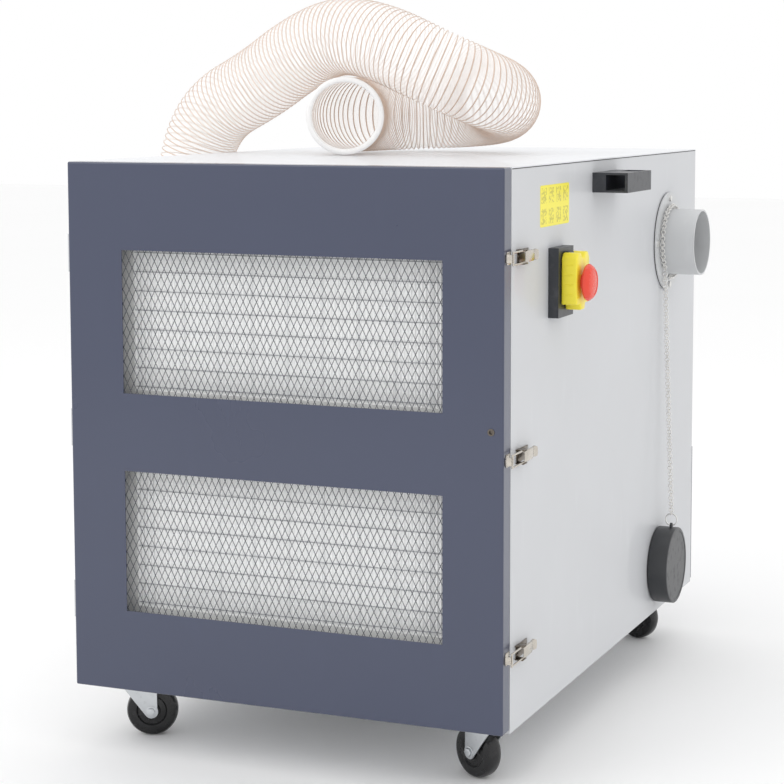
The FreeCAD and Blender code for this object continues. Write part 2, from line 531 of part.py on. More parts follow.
def chain_and_cap():
    """Round-link chain: a loop round the spigot's foot, and from its end a length that holds the cap."""
    out = worked(f"{RIGHT} + chain_out")
    centre = Vector(out, worked(INLET), worked(f"{TOP} - inlet_drop"))
    radius, wire, reach = size("link_radius"), size("link_wire"), size("loop_radius")
    across, flat = Vector(0, 1, 0), Vector(1, 0, 0)

    def link(place, facing):
        return Part.makeTorus(radius, wire, place, facing)

    def on_loop(angle):
        return centre + Vector(0, math.cos(angle), math.sin(angle)) * reach

    start = math.radians(size("loop_start"))
    sweep = math.radians(360 - size("loop_gap"))
    steps = math.ceil(sweep * reach / size("link_pitch"))
    loop = []
    for number in range(steps + 1):
        angle = start - number * sweep / steps
        away = (on_loop(angle) - centre) / reach
        loop.append(link(on_loop(angle), away if number % 2 else flat))
    piece("chain_loop", from_shape(Part.makeCompound(loop)))

    ring_place = Vector(worked(RING_X), worked(CHAIN_Y),
                        worked(f"{EYELET_Z} + eyelet_hole - ring_wire - running + ring_radius"))
    first = on_loop(start) - Vector(0, 0, 2 * (radius + wire) + size("running"))
    last = Vector(ring_place.x, ring_place.y,
                  ring_place.z + size("ring_radius") - size("ring_wire") + radius - wire - size("running"))
    steps = 2 * math.ceil((first - last).Length / (2 * size("link_pitch"))) + 1
    hanging = [link(first + (last - first) * (number / steps), flat if number % 2 else across)
               for number in range(steps + 1)]
    ring = Part.makeTorus(size("ring_radius"), size("ring_wire"), ring_place, across)
    piece("hanging_chain", from_shape(Part.makeCompound([*hanging, ring])))

    cap_x = f"({RIGHT} + cap_gap)"
    tab_x, tab_y = f"{RING_X} - eyelet_gauge / 2", f"{CHAIN_Y} - eyelet_width / 2"
    tab = block((tab_x, tab_y, f"{CAP_Z} + cap_radius - cap_end"),
                ("eyelet_gauge", "eyelet_width", "cap_end + eyelet_reach"))
    eyelet = rod((f"{RING_X} - cap_depth", CHAIN_Y, EYELET_Z), "eyelet_hole", "2 * cap_depth", "x")
    piece("inlet_cap", cut(
        fused(rod((cap_x, CHAIN_Y, CAP_Z), "cap_radius", "cap_depth", "x"), tab),
        rod((f"{cap_x} - gauge", CHAIN_Y, CAP_Z), "cap_bore", "cap_depth + gauge - cap_end", "x"), eyelet))


# --------------------------------------------------------------------------------- fan, motor and prefilter
def fan():
    partition = f"({REAR} - drawer_depth - partition_clear)"
    centre_z = f"({TOP} - fan_drop)"
    plate = block((f"{LEFT} + gauge", partition, FLOOR), (INSIDE, "gauge", "body_height - 2 * gauge"))
    ring_y = f"{partition} - inlet_ring_depth"
    ring = rod((MIDDLE, ring_y, centre_z), "inlet_eye", "inlet_ring_depth", "y")
    eye = rod((MIDDLE, f"{ring_y} - gauge", centre_z), "inlet_eye - inlet_ring_wall",
              "3 * inlet_ring_depth", "y")
    piece("fan_partition", cut(fused(plate, ring), eye))

    mount_y = f"({partition} - mount_gap)"
    corner = "(mount_size / 2 - leg_inset)"
    legs = [rod((f"{MIDDLE} + {i} * {corner}", f"{mount_y} + mount_gauge", f"{centre_z} + {j} * {corner}"),
                "leg_radius", "mount_gap - mount_gauge", "y") for i in (-1, 1) for j in (-1, 1)]
    mount = block((f"{MIDDLE} - mount_size / 2", mount_y, f"{centre_z} - mount_size / 2"),
                  ("mount_size", "mount_gauge", "mount_size"))
    hole = rod((MIDDLE, f"{mount_y} - gauge", centre_z), "shaft_hole", "mount_gauge + 2 * gauge", "y")
    piece("motor_mount", fused(cut(mount, hole), *legs))
    piece("motor", cut(
        fused(rod((MIDDLE, f"{mount_y} - motor_length", centre_z), "motor_radius", "motor_length", "y"),
              rod((MIDDLE, f"{mount_y} - motor_flange_depth", centre_z), "motor_flange", "motor_flange_depth",
                  "y")),
        rod((MIDDLE, f"{mount_y} - shaft_depth - gauge", centre_z), "shaft_radius + fit",
            "2 * shaft_depth", "y")))

    shroud_y = f"({partition} - impeller_gap - impeller_disc)"
    back_y = f"({shroud_y} - impeller_width)"
    blades = []
    for number in range(int(size("blade_count"))):
        blade = block(("0", "0", "0"), ("blade_gauge", "blade_length",
                                        "impeller_width - impeller_disc"))
        turn = number * 360 / size("blade_count")
        spin = FreeCAD.Rotation(Vector(0, 1, 0), turn).multiply(FreeCAD.Rotation(Vector(1, 0, 0), 90))
        lean = spin.multiply(FreeCAD.Rotation(Vector(0, 0, 1), size("blade_angle")))
        blade.Placement = FreeCAD.Placement(Vector(), lean)
        foot = spin.multVec(Vector(0, size("impeller_radius") - size("blade_length"), 0))
        place = (f"{MIDDLE} + {foot.x}", shroud_y, f"{centre_z} + {foot.z}")
        for letter, value in zip("xyz", place, strict=True):
            blade.setExpression(f"Placement.Base.{letter}", bound(value))
        blades.append(blade)
    disc = rod((MIDDLE, back_y, centre_z), "impeller_radius", "impeller_disc", "y")
    shroud = cut(rod((MIDDLE, shroud_y, centre_z), "impeller_radius", "impeller_disc", "y"),
                 rod((MIDDLE, f"{shroud_y} - gauge", centre_z), "shroud_eye", "4 * gauge", "y"))
    hub = rod((MIDDLE, back_y, centre_z), "hub_radius", "impeller_width / 2", "y")
    shaft = rod((MIDDLE, f"{mount_y} - shaft_depth", centre_z), "shaft_radius",
                f"{back_y} + impeller_width / 2 - {mount_y} + shaft_depth", "y")
    piece("impeller", fused(disc, shroud, hub, shaft, *blades))

    cartridge_y = f"({partition} + gauge)"
    piece("prefilter_cartridge", cut(
        rod((MIDDLE, cartridge_y, centre_z), "cartridge_radius", "cartridge_length", "y"),
        rod((MIDDLE, f"{cartridge_y} - gauge", centre_z), "cartridge_bore",
            "cartridge_length + gauge - cartridge_end", "y")))


# ------------------------------------------------------------------------------------------------ dust drawer
def drawer():
    low_z = f"({BASE} + fold + drawer_lift)"
    start = f"({REAR} - drawer_depth)"
    left = f"({MIDDLE} - drawer_width / 2)"
    piece("dust_drawer", cut(
        block((left, start, low_z), ("drawer_width", "drawer_depth", "drawer_height")),
        block((f"{left} + drawer_gauge", f"{start} + drawer_gauge", f"{low_z} + drawer_gauge"),
              ("drawer_width - 2 * drawer_gauge", "drawer_depth - 2 * drawer_gauge", "drawer_height"))))
    front_z = f"({BASE} + front_lift)"
    front_width = "(cab_width - 2 * front_inset)"
    pan = cut(block((f"{LEFT} + front_inset", REAR, front_z), (front_width, "front_proud", "front_height")),
              block((f"{LEFT} + front_inset + drawer_gauge", f"{REAR} - drawer_gauge",
                     f"{front_z} + drawer_gauge"),
                    (f"{front_width} - 2 * drawer_gauge", "front_proud", "front_height - 2 * drawer_gauge")))
    braces = [block((f"{MIDDLE} + {side} * brace_pitch / 2 - drawer_gauge / 2", REAR, front_z),
                    ("drawer_gauge", "front_proud", "front_height")) for side in (-1, 0, 1)]
    piece("drawer_front", fused(pan, *braces))
    pull_y, pull_z = f"({REAR} + front_proud)", f"({front_z} + pull_rise)"
    posts = [rod((f"{MIDDLE} + {side} * (pull_width / 2 - 2 * pull_radius)", pull_y, pull_z), "post_radius",
                 "pull_reach - pull_radius", "y") for side in (-1, 1)]
    bar = rod((f"{MIDDLE} - pull_width / 2", f"{pull_y} + pull_reach - pull_radius", pull_z), "pull_radius",
              "pull_width", "x")
    piece("drawer_handle", fused(*posts, bar))

    rails = []
    length = "drawer_depth - opening_margin"
    for side, wall_x, ledge_x in (
            (-1, f"{left} - running - gauge", f"{left} - running - gauge"),
            (1, f"{left} + drawer_width + running", f"{left} + drawer_width - runner_ledge")):
        rails.append(fused(
            block((wall_x, start, FLOOR), ("gauge", length, "runner_height")),
            block((ledge_x, start, f"{low_z} - running - gauge"), ("runner_ledge + running + gauge", length,
                                                                   "gauge"))))
    piece("drawer_runners", *rails)


# ---------------------------------------------------------------------------------------------------- castors
def castors():
    plates, bolts = [], []
    plate_z = f"({BASE} - plate_gauge)"
    head_z = f"({plate_z} - running)"
    half_wheel = "(wheel_width / 2)"
    leg_inner = f"({half_wheel} + fork_gap)"
    crown_z = f"({head_z} - 2 - fork_gauge)"
    front, rear = f"({DOOR} + castor_front)", f"({REAR} - castor_rear)"
    places = {"front_left": (-1, front), "front_right": (1, front),
              "rear_left": (-1, rear), "rear_right": (1, rear)}
    for corner, (side, y) in places.items():
        x = f"({MIDDLE} + {side} * (cab_width / 2 - castor_side))"
        holes = [rod((x, y, f"{plate_z} - 1"), "kingpin_radius + fit", "2 * plate_gauge")]
        for i in (-1, 1):
            for j in (-1, 1):
                bolt = (f"{x} + {i} * bolt_spacing / 2", f"{y} + {j} * bolt_spacing / 2")
                holes.append(rod((*bolt, f"{plate_z} - 1"), "bolt_radius + fit", "2 * plate_gauge"))
                bolts.append(fused(
                    rod((*bolt, f"{plate_z} - bolt_head_depth"), "bolt_head", "bolt_head_depth"),
                    rod((*bolt, plate_z), "bolt_radius", "plate_gauge")))
        plates.append(cut(block((f"{x} - plate_size / 2", f"{y} - plate_size / 2", plate_z),
                                ("plate_size", "plate_size", "plate_gauge")), *holes))
        # the fork and the wheel are made round the kingpin, trailing along +X, and turned to their yaw
        legs = []
        for low in (leg_inner, f"-{leg_inner} - fork_gauge"):
            legs.append(block(("trail - fork_width / 2", low, "wheel_radius - fork_width / 2"),
                              ("fork_width", "fork_gauge", f"{crown_z} - wheel_radius + fork_width / 2")))
        axle = rod(("trail", f"-{leg_inner}", "wheel_radius"), "axle_radius", f"2 * {leg_inner}", "y")
        nuts = [rod(("trail", low, "wheel_radius"), "nut_radius", "nut_depth", "y")
                for low in (f"{leg_inner} + fork_gauge", f"-{leg_inner} - fork_gauge - nut_depth")]
        crown = block(("-race_radius", f"-{leg_inner} - fork_gauge", crown_z),
                      ("race_radius + trail + fork_width / 2", f"2 * ({leg_inner} + fork_gauge)", "fork_gauge"))
        race = rod(("0", "0", f"{crown_z} + fork_gauge"), "race_radius", f"{head_z} - {crown_z} - fork_gauge")
        kingpin = rod(("0", "0", head_z), "kingpin_radius", "plate_gauge")
        fork = fused(*legs, axle, *nuts, crown, race, kingpin)
        piece(f"castor_fork_{corner}", put(fork, (x, y, "0"), (0, 0, 1), f"yaw_{corner}"))
        tyre = rod(("0", f"-{half_wheel}", "0"), "wheel_radius", "wheel_width", "y")
        tyre = rounded(tyre, "wheel_round", lambda edge: edge.Closed)
        wheel = cut(tyre, rod(("0", "-wheel_width", "0"), "axle_radius + fit", "2 * wheel_width", "y"))
        out = (f"{x} + trail * cos(yaw_{corner})", f"{y} + trail * sin(yaw_{corner})", "wheel_radius")
        piece(f"castor_wheel_{corner}", put(wheel, out, (0, 0, 1), f"yaw_{corner}"))
    piece("castor_plates", *plates)
    piece("castor_bolts", *bolts)


# ----------------------------------------------------------------------------------------------- suction hose
# The hose lies in a loop on the cabinet, crosses over its own end and hangs down past the left side. Each point
# is (from the left side, back from the door's face, above the top panel) to the middle of the hose.
HOSE_ROUTE = [
    (232, 369, 57), (203, 436, 57), (176, 508, 57), (209, 593, 58), (298, 632, 61), (386, 597, 68),
    (424, 510, 84), (405, 438, 110), (345, 402, 140), (272, 405, 166), (196, 420, 177), (118, 404, 149),
    (42, 381, 104), (-36, 364, 64), (-74, 356, -9), (-73, 352, -100), (-69, 352, -225), (-67, 350, -390),
    (-67, 351, -560),
]


def hose():
    """A hollow tube along straight runs joined by tangent arcs."""
    origin = Vector(worked(LEFT), worked(DOOR), worked(TOP))
    points = [origin + Vector(*point) for point in HOSE_ROUTE]
    edges, radii, start = [], [], points[0]
    for before, corner, after in zip(points, points[1:], points[2:]):
        back, ahead = before - corner, after - corner
        half_turn = (math.pi - back.getAngle(ahead)) / 2
        reach = 0.45 * min(back.Length, ahead.Length)
        radius = reach / math.tan(half_turn)
        radii.append(round(radius))
        back.normalize()
        ahead.normalize()
        entry, leave = corner + back * reach, corner + ahead * reach
        toward = back + ahead
        toward.normalize()
        middle = corner + toward * (radius / math.cos(half_turn) - radius)
        edges += [Part.LineSegment(start, entry).toShape(), Part.Arc(entry, middle, leave).toShape()]
        start = leave
    edges.append(Part.LineSegment(start, points[-1]).toShape())
    path = Part.Wire(edges)
    print("hose arcs, mm:", radii, "length", round(path.Length))
    heading = edges[0].Vertexes[1].Point - edges[0].Vertexes[0].Point
    walls = []
    for radius in (size("hose_radius"), size("hose_bore")):
        ring = Part.Wire(Part.makeCircle(radius, points[0], heading))
        walls.append(path.makePipeShell([ring], True, False))
    tube = walls[0].cut(walls[1])
    section = math.pi * (size("hose_radius") ** 2 - size("hose_bore") ** 2)
    print("hose volume over section times length:", round(tube.Volume / (section * path.Length), 4))
    piece("hose", from_shape(tube.Solids[0]))


# ------------------------------------------------------------------------------------------- build and write
def write():
    doc.recompute()
    failed = [thing.Name for thing in doc.Objects if {"Invalid", "Error"} & set(thing.State)]
    if failed:
        raise RuntimeError(f"these objects failed: {failed}")
    for thing in pieces:
        shape = thing.Shape
        if shape.isNull() or not shape.isValid() or not shape.Solids:
            raise RuntimeError(f"{thing.Label} has no valid solid")
    os.makedirs("parts", exist_ok=True)
    for thing in pieces:
        thing.Shape.exportStep(f"parts/{thing.Label}.step")
    print(len(pieces), "sub-parts written")


cabinet()
rear_fastenings()
filters()
door()
door_hinges()
latches()
switch()
handle()
inlet()
chain_and_cap()
fan()
drawer()
castors()
hose()
write()
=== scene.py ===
"""Looks of a mobile dust collector: powder-coated cabinet on castors, mesh filter door, suction hose.

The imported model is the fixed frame; every piece made here goes where the frame says and rides on one of its
bodies. Metres, +Z up, the door looks along -Y.
"""
import json
import math

import bmesh
import bpy
from bpy.props import FloatProperty, FloatVectorProperty, IntProperty, PointerProperty
from mathutils import Matrix, Vector


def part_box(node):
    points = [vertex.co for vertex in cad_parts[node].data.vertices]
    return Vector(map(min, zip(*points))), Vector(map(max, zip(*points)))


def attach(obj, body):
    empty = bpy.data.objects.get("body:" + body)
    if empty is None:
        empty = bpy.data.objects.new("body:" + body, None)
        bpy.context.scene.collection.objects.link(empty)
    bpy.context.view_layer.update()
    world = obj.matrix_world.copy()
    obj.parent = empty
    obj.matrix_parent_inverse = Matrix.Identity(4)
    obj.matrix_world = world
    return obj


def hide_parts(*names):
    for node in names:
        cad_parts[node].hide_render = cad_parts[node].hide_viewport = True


bl_info = {
    "name": "Dust collector",
    "version": (1, 0, 0),
    "blender": (4, 5, 0),
    "location": "View3D > Sidebar > Dust collector",
    "description": "Builds the visible surfaces of a mobile dust collector around its packed frame",
    "category": "Object",
}

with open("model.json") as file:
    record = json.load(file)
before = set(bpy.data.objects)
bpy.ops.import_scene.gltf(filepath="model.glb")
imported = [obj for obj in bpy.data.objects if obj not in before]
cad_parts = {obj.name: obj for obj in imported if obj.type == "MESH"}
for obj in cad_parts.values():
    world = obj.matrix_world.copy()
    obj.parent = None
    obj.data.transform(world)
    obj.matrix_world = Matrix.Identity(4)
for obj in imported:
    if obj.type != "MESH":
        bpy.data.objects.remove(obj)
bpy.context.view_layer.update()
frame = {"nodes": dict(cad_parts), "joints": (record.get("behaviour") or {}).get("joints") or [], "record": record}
MM = 0.001
OPENINGS = {row["name"]: [Vector(corner) for corner in row["box_m"]]
            for row in frame["record"]["physics"]["openings"]}
JOINTS = {row["name"]: row for row in frame["joints"]}
CORNERS = ("front_left", "front_right", "rear_left", "rear_right")
LEVELS = ("top", "middle", "bottom")
FILTER_SEATS = ("upper_filter_seat", "lower_filter_seat")
WELD = 0.02 * MM  # points nearer than this are one
SHARP = math.radians(30)  # faces that meet at more than this have their edge rounded
FLOOR_HALF = 14
LAMP_AIM = Vector((0, 0, 0.45))  # the point the lamps look at

# The suction hose's route, measured from the cabinet's left edge, the door's face and the top panel.
HOSE_ROUTE = (
    (0.232, 0.369, 0.057), (0.204, 0.436, 0.057), (0.181, 0.510, 0.057), (0.209, 0.593, 0.058),
    (0.298, 0.632, 0.061), (0.386, 0.597, 0.068), (0.424, 0.510, 0.082), (0.405, 0.438, 0.100),
    (0.345, 0.402, 0.131), (0.272, 0.408, 0.163), (0.196, 0.428, 0.175), (0.124, 0.445, 0.148),
    (0.050, 0.462, 0.103), (-0.034, 0.474, 0.064), (-0.074, 0.480, -0.009), (-0.073, 0.480, -0.100),
    (-0.069, 0.476, -0.225), (-0.067, 0.472, -0.390), (-0.067, 0.470, -0.560),
)


# --------------------------------------------------------------------------------------- shader maths
class Value:
    """A shader socket in Python arithmetic: each operator adds the Math node that does it."""

    def __init__(self, finish, node, output=0):
        self.finish, self.node, self.output = finish, node, output

    @property
    def socket(self):
        return self.node.outputs[self.output]

    def out(self, output):
        """Another output of the same node."""
        return Value(self.finish, self.node, output)

    def _math(self, operation, *terms):
        return self.finish.add("ShaderNodeMath", {"operation": operation}, *terms)

    def __add__(self, other):
        return self._math("ADD", self, other)

    def __sub__(self, other):
        return self._math("SUBTRACT", self, other)

    def __rsub__(self, other):
        return self._math("SUBTRACT", other, self)

    def __mul__(self, other):
        return self._math("MULTIPLY", self, other)

    def __lt__(self, other):
        return self._math("LESS_THAN", self, other)

    def __gt__(self, other):
        return self._math("GREATER_THAN", self, other)

    def __abs__(self):
        return self._math("ABSOLUTE", self)

    def beat(self, period):
        """How far the value is from the middle of each period, 0 to half a period."""
        return abs(self._math("FLOORED_MODULO", self, period) - period / 2)

    __radd__ = __add__
    __rmul__ = __mul__


class Finish:
    """One material, built from nodes that add() makes."""

    def __init__(self, name):
        self.material = bpy.data.materials.new(name)
        self.material.use_nodes = True
        self.tree = self.material.node_tree
        self.tree.nodes.clear()

    def add(self, kind, settings=None, *values, **named):
        """A node: its settings first, then the values or links of its sockets, by place or by name."""
        node = self.tree.nodes.new(kind)
        for name, setting in (settings or {}).items():
            setattr(node, name, setting)
        sockets = dict(enumerate(values)) | {name.replace("_", " "): value for name, value in named.items()}
        for key, value in sockets.items():
            self.feed(node.inputs[key], value)
        return Value(self, node)

    def feed(self, socket, value):
        if isinstance(value, Value):
            self.tree.links.new(value.socket, socket)
        else:
            socket.default_value = value

    def place(self, scale=(1, 1, 1)):
        """Object coordinates, stretched."""
        spot = self.add("ShaderNodeTexCoord").out("Object")
        return self.add("ShaderNodeMapping", None, spot, Scale=scale)

    def axes(self):
        """Object coordinates, one value for each axis."""
        split = self.add("ShaderNodeSeparateXYZ", None, self.add("ShaderNodeTexCoord").out("Object"))
        return [split.out(axis) for axis in "XYZ"]

    def noise(self, scale, detail=2.0, stretch=(1, 1, 1)):
        return self.add("ShaderNodeTexNoise", None, Vector=self.place(stretch), Scale=scale, Detail=detail)

    def blend(self, share, first, second):
        """A colour between two others."""
        mix = self.add("ShaderNodeMix", {"data_type": "RGBA", "clamp_factor": True})
        for place, value in ((0, share), (6, first), (7, second)):
            self.feed(mix.node.inputs[place], value)
        return mix.out(2)

    def between(self, value, low, high, start=0.0, end=1.0):
        """The value's range low to high brought to start to end, and held there."""
        return self.add("ShaderNodeMapRange", {"clamp": True}, value, low, high, start, end)

    def relief(self, height, depth):
        """A normal from a height of 0 to 1 that stands for depth metres."""
        return self.add("ShaderNodeBump", None, Strength=1.0, Distance=depth, Height=height)

    def surface(self, **sockets):
        shader = self.add("ShaderNodeBsdfPrincipled", None, **sockets)
        self.add("ShaderNodeOutputMaterial", None, Surface=shader)
        return self.material


def tint(colour, light=1.0):
    return (*(min(1.0, part * light) for part in colour), 1.0)


def powder_coat(name, colour, grain=1.1 * MM, relief=0.06 * MM, roughness=0.42, coat=0.15):
    """Baked powder coat: orange-peel relief, slight clouding and a few rubbed marks."""
    paint = Finish(name)
    clouds = paint.noise(5.0, 4.0)
    rubbed = paint.between(paint.noise(38.0, 6.0, (1, 1, 0.25)), 0.62, 0.80)
    return paint.surface(
        Base_Color=paint.blend(rubbed * 0.18, paint.blend(clouds, tint(colour, 0.94), tint(colour, 1.05)),
                               tint(colour, 1.35)),
        Roughness=roughness + clouds * 0.10 + rubbed * 0.12,
        Coat_Weight=coat,
        Normal=paint.relief(paint.noise(1 / grain, 2.0), relief))


def bare_metal(name, colour, roughness=0.3, brushed=(1, 1, 1), dull=0.15):
    """Plated or bare metal: fine brushing, clouded plating and dull spots."""
    metal = Finish(name)
    clouds = metal.noise(60.0, 3.0)
    lines = metal.noise(700.0, 3.0, brushed)
    spots = metal.between(metal.noise(180.0, 5.0), 0.60, 0.72)
    return metal.surface(
        Base_Color=metal.blend(spots * 0.4, metal.blend(clouds, tint(colour, 0.88), tint(colour, 1.08)),
                               tint(colour, 0.62)),
        Metallic=1.0 - spots * 0.2,
        Roughness=roughness + clouds * dull + spots * 0.15,
        Normal=metal.relief(lines, 0.03 * MM))


def moulded(name, colour, roughness=0.4, grain=0.6 * MM, relief=0.04 * MM, dust=0.12):
    """Moulded plastic or rubber: spark-eroded grain, slight shade changes and dust in patches."""
    plastic = Finish(name)
    clouds = plastic.noise(22.0, 3.0)
    dusty = plastic.between(plastic.noise(90.0, 5.0), 0.52, 0.78)
    return plastic.surface(
        Base_Color=plastic.blend(dusty * dust, plastic.blend(clouds, tint(colour, 0.92), tint(colour, 1.08)),
                                 (0.62, 0.60, 0.57, 1)),
        Roughness=roughness + dusty * 0.18,
        Normal=plastic.relief(plastic.noise(1 / grain, 2.0), relief))


# --------------------------------------------------------------------------------------- shaping
def span(low, high):
    """The matrix that takes a unit cube to the box between two corners."""
    low, high = Vector(low), Vector(high)
    return Matrix.Translation((low + high) / 2) @ Matrix.Diagonal((*(high - low), 1))


def facing(place, direction):
    """The matrix that takes the local Z axis to a direction at a place."""
    return Matrix.Translation(Vector(place)) @ Vector(direction).to_track_quat("Z", "Y").to_matrix().to_4x4()


def block(shape, low, high):
    return bmesh.ops.create_cube(shape, size=1, matrix=span(low, high))["verts"]


def lathe(shape, profile, matrix, steps=48, closed=False):
    """Turns a profile of (radius, height) points about the local Z axis."""
    turned = bmesh.new()
    verts = [turned.verts.new((radius, 0, height)) for radius, height in profile]
    pairs = [*zip(verts, verts[1:]), *([(verts[-1], verts[0])] if closed else [])]
    edges = [turned.edges.new(pair) for pair in pairs]
    bmesh.ops.spin(turned, geom=verts + edges, cent=(0, 0, 0), axis=(0, 0, 1), angle=2 * math.pi, steps=steps,
                   use_merge=True)
    bmesh.ops.remove_doubles(turned, verts=turned.verts, dist=0.001 * MM)
    bmesh.ops.recalc_face_normals(turned, faces=turned.faces)
    bmesh.ops.transform(turned, matrix=matrix, verts=turned.verts)
    added(shape, turned)


def added(shape, other):
    """Joins another shape to this one and frees it."""
    mesh = bpy.data.meshes.new("joined")
    other.to_mesh(mesh)
    other.free()
    shape.from_mesh(mesh)
    bpy.data.meshes.remove(mesh)


def pulled(shape, face, step):
    """Extrudes a face by a step and gives the corners that moved."""
    grown = bmesh.ops.extrude_face_region(shape, geom=[face])["geom"]
    moved = [part for part in grown if isinstance(part, bmesh.types.BMVert)]
    bmesh.ops.translate(shape, vec=step, verts=moved)
    return moved


def ease(shape, width, segments=2, verts=None):
    """Rounds every sharp edge, or those between the given corners."""
    chosen = set(verts) if verts is not None else None
    edges = [edge for edge in shape.edges
             if len(edge.link_faces) == 2 and edge.calc_face_angle(0) > SHARP
             and (chosen is None or (edge.verts[0] in chosen and edge.verts[1] in chosen))]
    bmesh.ops.bevel(shape, geom=edges, offset=width, affect="EDGES", segments=segments, profile=0.5,
                    material=-1, clamp_overlap=True)


def repeated(shape, runs):
    """Copies of a shape, joined where they touch; each run has a step from one to the next and a count."""
    mesh = bpy.data.meshes.new("repeated")
    shape.to_mesh(mesh)
    shape.free()
    thing = bpy.data.objects.new("repeated", mesh)
    bpy.context.scene.collection.objects.link(thing)
    for step, count in runs:
        array = thing.modifiers.new("run", "ARRAY")
        array.use_relative_offset, array.use_constant_offset = False, True
        array.constant_offset_displace, array.count = step, count
        array.use_merge_vertices, array.merge_threshold = True, WELD
    kept(thing)
    whole = bmesh.new()
    whole.from_mesh(thing.data)
    bpy.data.objects.remove(thing)
    return whole


def kept(piece):
    """Replaces a piece's mesh by what its modifiers make of it."""
    bpy.context.view_layer.update()
    mesh = bpy.data.meshes.new_from_object(piece.evaluated_get(bpy.context.evaluated_depsgraph_get()))
    piece.modifiers.clear()
    piece.data = mesh
    mesh.name = piece.name


def finished(name, shape, material, body, stands_for=(), crease=35):
    """Makes the piece: its mesh, finish and shading, and the body it rides on."""
    mesh = bpy.data.meshes.new(name)
    shape.to_mesh(mesh)
    shape.free()
    mesh.materials.append(material)
    mesh.shade_smooth()
    mesh.set_sharp_from_angle(angle=math.radians(crease))
    piece = bpy.data.objects.new(name, mesh)
    bpy.context.scene.collection.objects.link(piece)
    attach(piece, body)
    if stands_for:
        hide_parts(*stands_for)
    return piece


def window_centres():
    """The height of the middle of each window."""
    return [(OPENINGS[seat][0].z + OPENINGS[seat][1].z) / 2 for seat in FILTER_SEATS]


def middle(node):
    low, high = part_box(node)
    return (low + high) / 2


# --------------------------------------------------------------------------------------- user's sizes
class HoseSettings(bpy.types.PropertyGroup):
    diameter: FloatProperty(name="Diameter", description="Outside diameter of the hose", default=0.112,
                            unit="LENGTH")
    pitch: FloatProperty(name="Pitch", description="Distance between turns of the wire", default=0.0078,
                         unit="LENGTH")
    wire: FloatProperty(name="Wire", description="Diameter of the helix wire", default=0.0015, unit="LENGTH")
    sag: FloatProperty(name="Sag", description="How far the film sinks between turns", default=0.0022,
                       unit="LENGTH")
    film: FloatVectorProperty(name="Film", description="Colour of the film", default=(0.99, 0.98, 0.97),
                              subtype="COLOR", min=0, max=1)
    copper: FloatVectorProperty(name="Copper", description="Colour of the wire", default=(0.50, 0.39, 0.32),
                                subtype="COLOR", min=0, max=1)
    facets: IntProperty(name="Facets", description="Steps in one turn of the hose", default=36, min=12)


class DoorSettings(bpy.types.PropertyGroup):
    slate: FloatVectorProperty(name="Slate", description="Colour of the door and drawer",
                               default=(0.040, 0.050, 0.096), subtype="COLOR", min=0, max=1)
    diamond_width: FloatProperty(name="Diamond width", description="Width of one opening of the mesh",
                                 default=0.0095, unit="LENGTH")
    diamond_height: FloatProperty(name="Diamond height", description="Height of one opening of the mesh",
                                  default=0.019, unit="LENGTH")
    strand: FloatProperty(name="Strand", description="Width of the mesh's strands", default=0.0008,
                          unit="LENGTH")
    window_height: FloatProperty(name="Window height", description="Height of each window", default=0.188,
                                 unit="LENGTH")
    hidden: FloatProperty(name="Hidden edge", description="How far the mesh reaches behind the door's sheet",
                          default=0.011, unit="LENGTH")
    pleat: FloatProperty(name="Pleat", description="Distance between the filter's pleats", default=0.005,
                         unit="LENGTH")
    bead_pitch: FloatProperty(name="Bead pitch", description="Distance between the pleats' glue beads",
                              default=0.0254, unit="LENGTH")


class CabinetSettings(bpy.types.PropertyGroup):
    pale: FloatVectorProperty(name="Pale grey", description="Colour of the panels",
                              default=(0.60, 0.61, 0.63), subtype="COLOR", min=0, max=1)
    yellow: FloatVectorProperty(name="Yellow", description="Colour of the label and the switch cover",
                                default=(0.92, 0.79, 0.05), subtype="COLOR", min=0, max=1)
    red: FloatVectorProperty(name="Red", description="Colour of the stop button", default=(0.80, 0.06, 0.03),
                             subtype="COLOR", min=0, max=1)


class StageSettings(bpy.types.PropertyGroup):
    lens: FloatProperty(name="Lens", description="Focal length of the camera, in millimetres", default=93.77)
    turn: FloatProperty(name="Turn", description="How far the camera is turned to the left",
                        default=math.radians(21.93), subtype="ANGLE")
    tip: FloatProperty(name="Tip", description="How far the camera looks down", default=math.radians(5.73),
                       subtype="ANGLE")
    place: FloatVectorProperty(name="Place", description="Where the camera stands",
                               default=(1.1248, -2.7673, 0.8764), subtype="TRANSLATION")


def settings(group):
    return getattr(bpy.context.scene, f"dust_{group}")


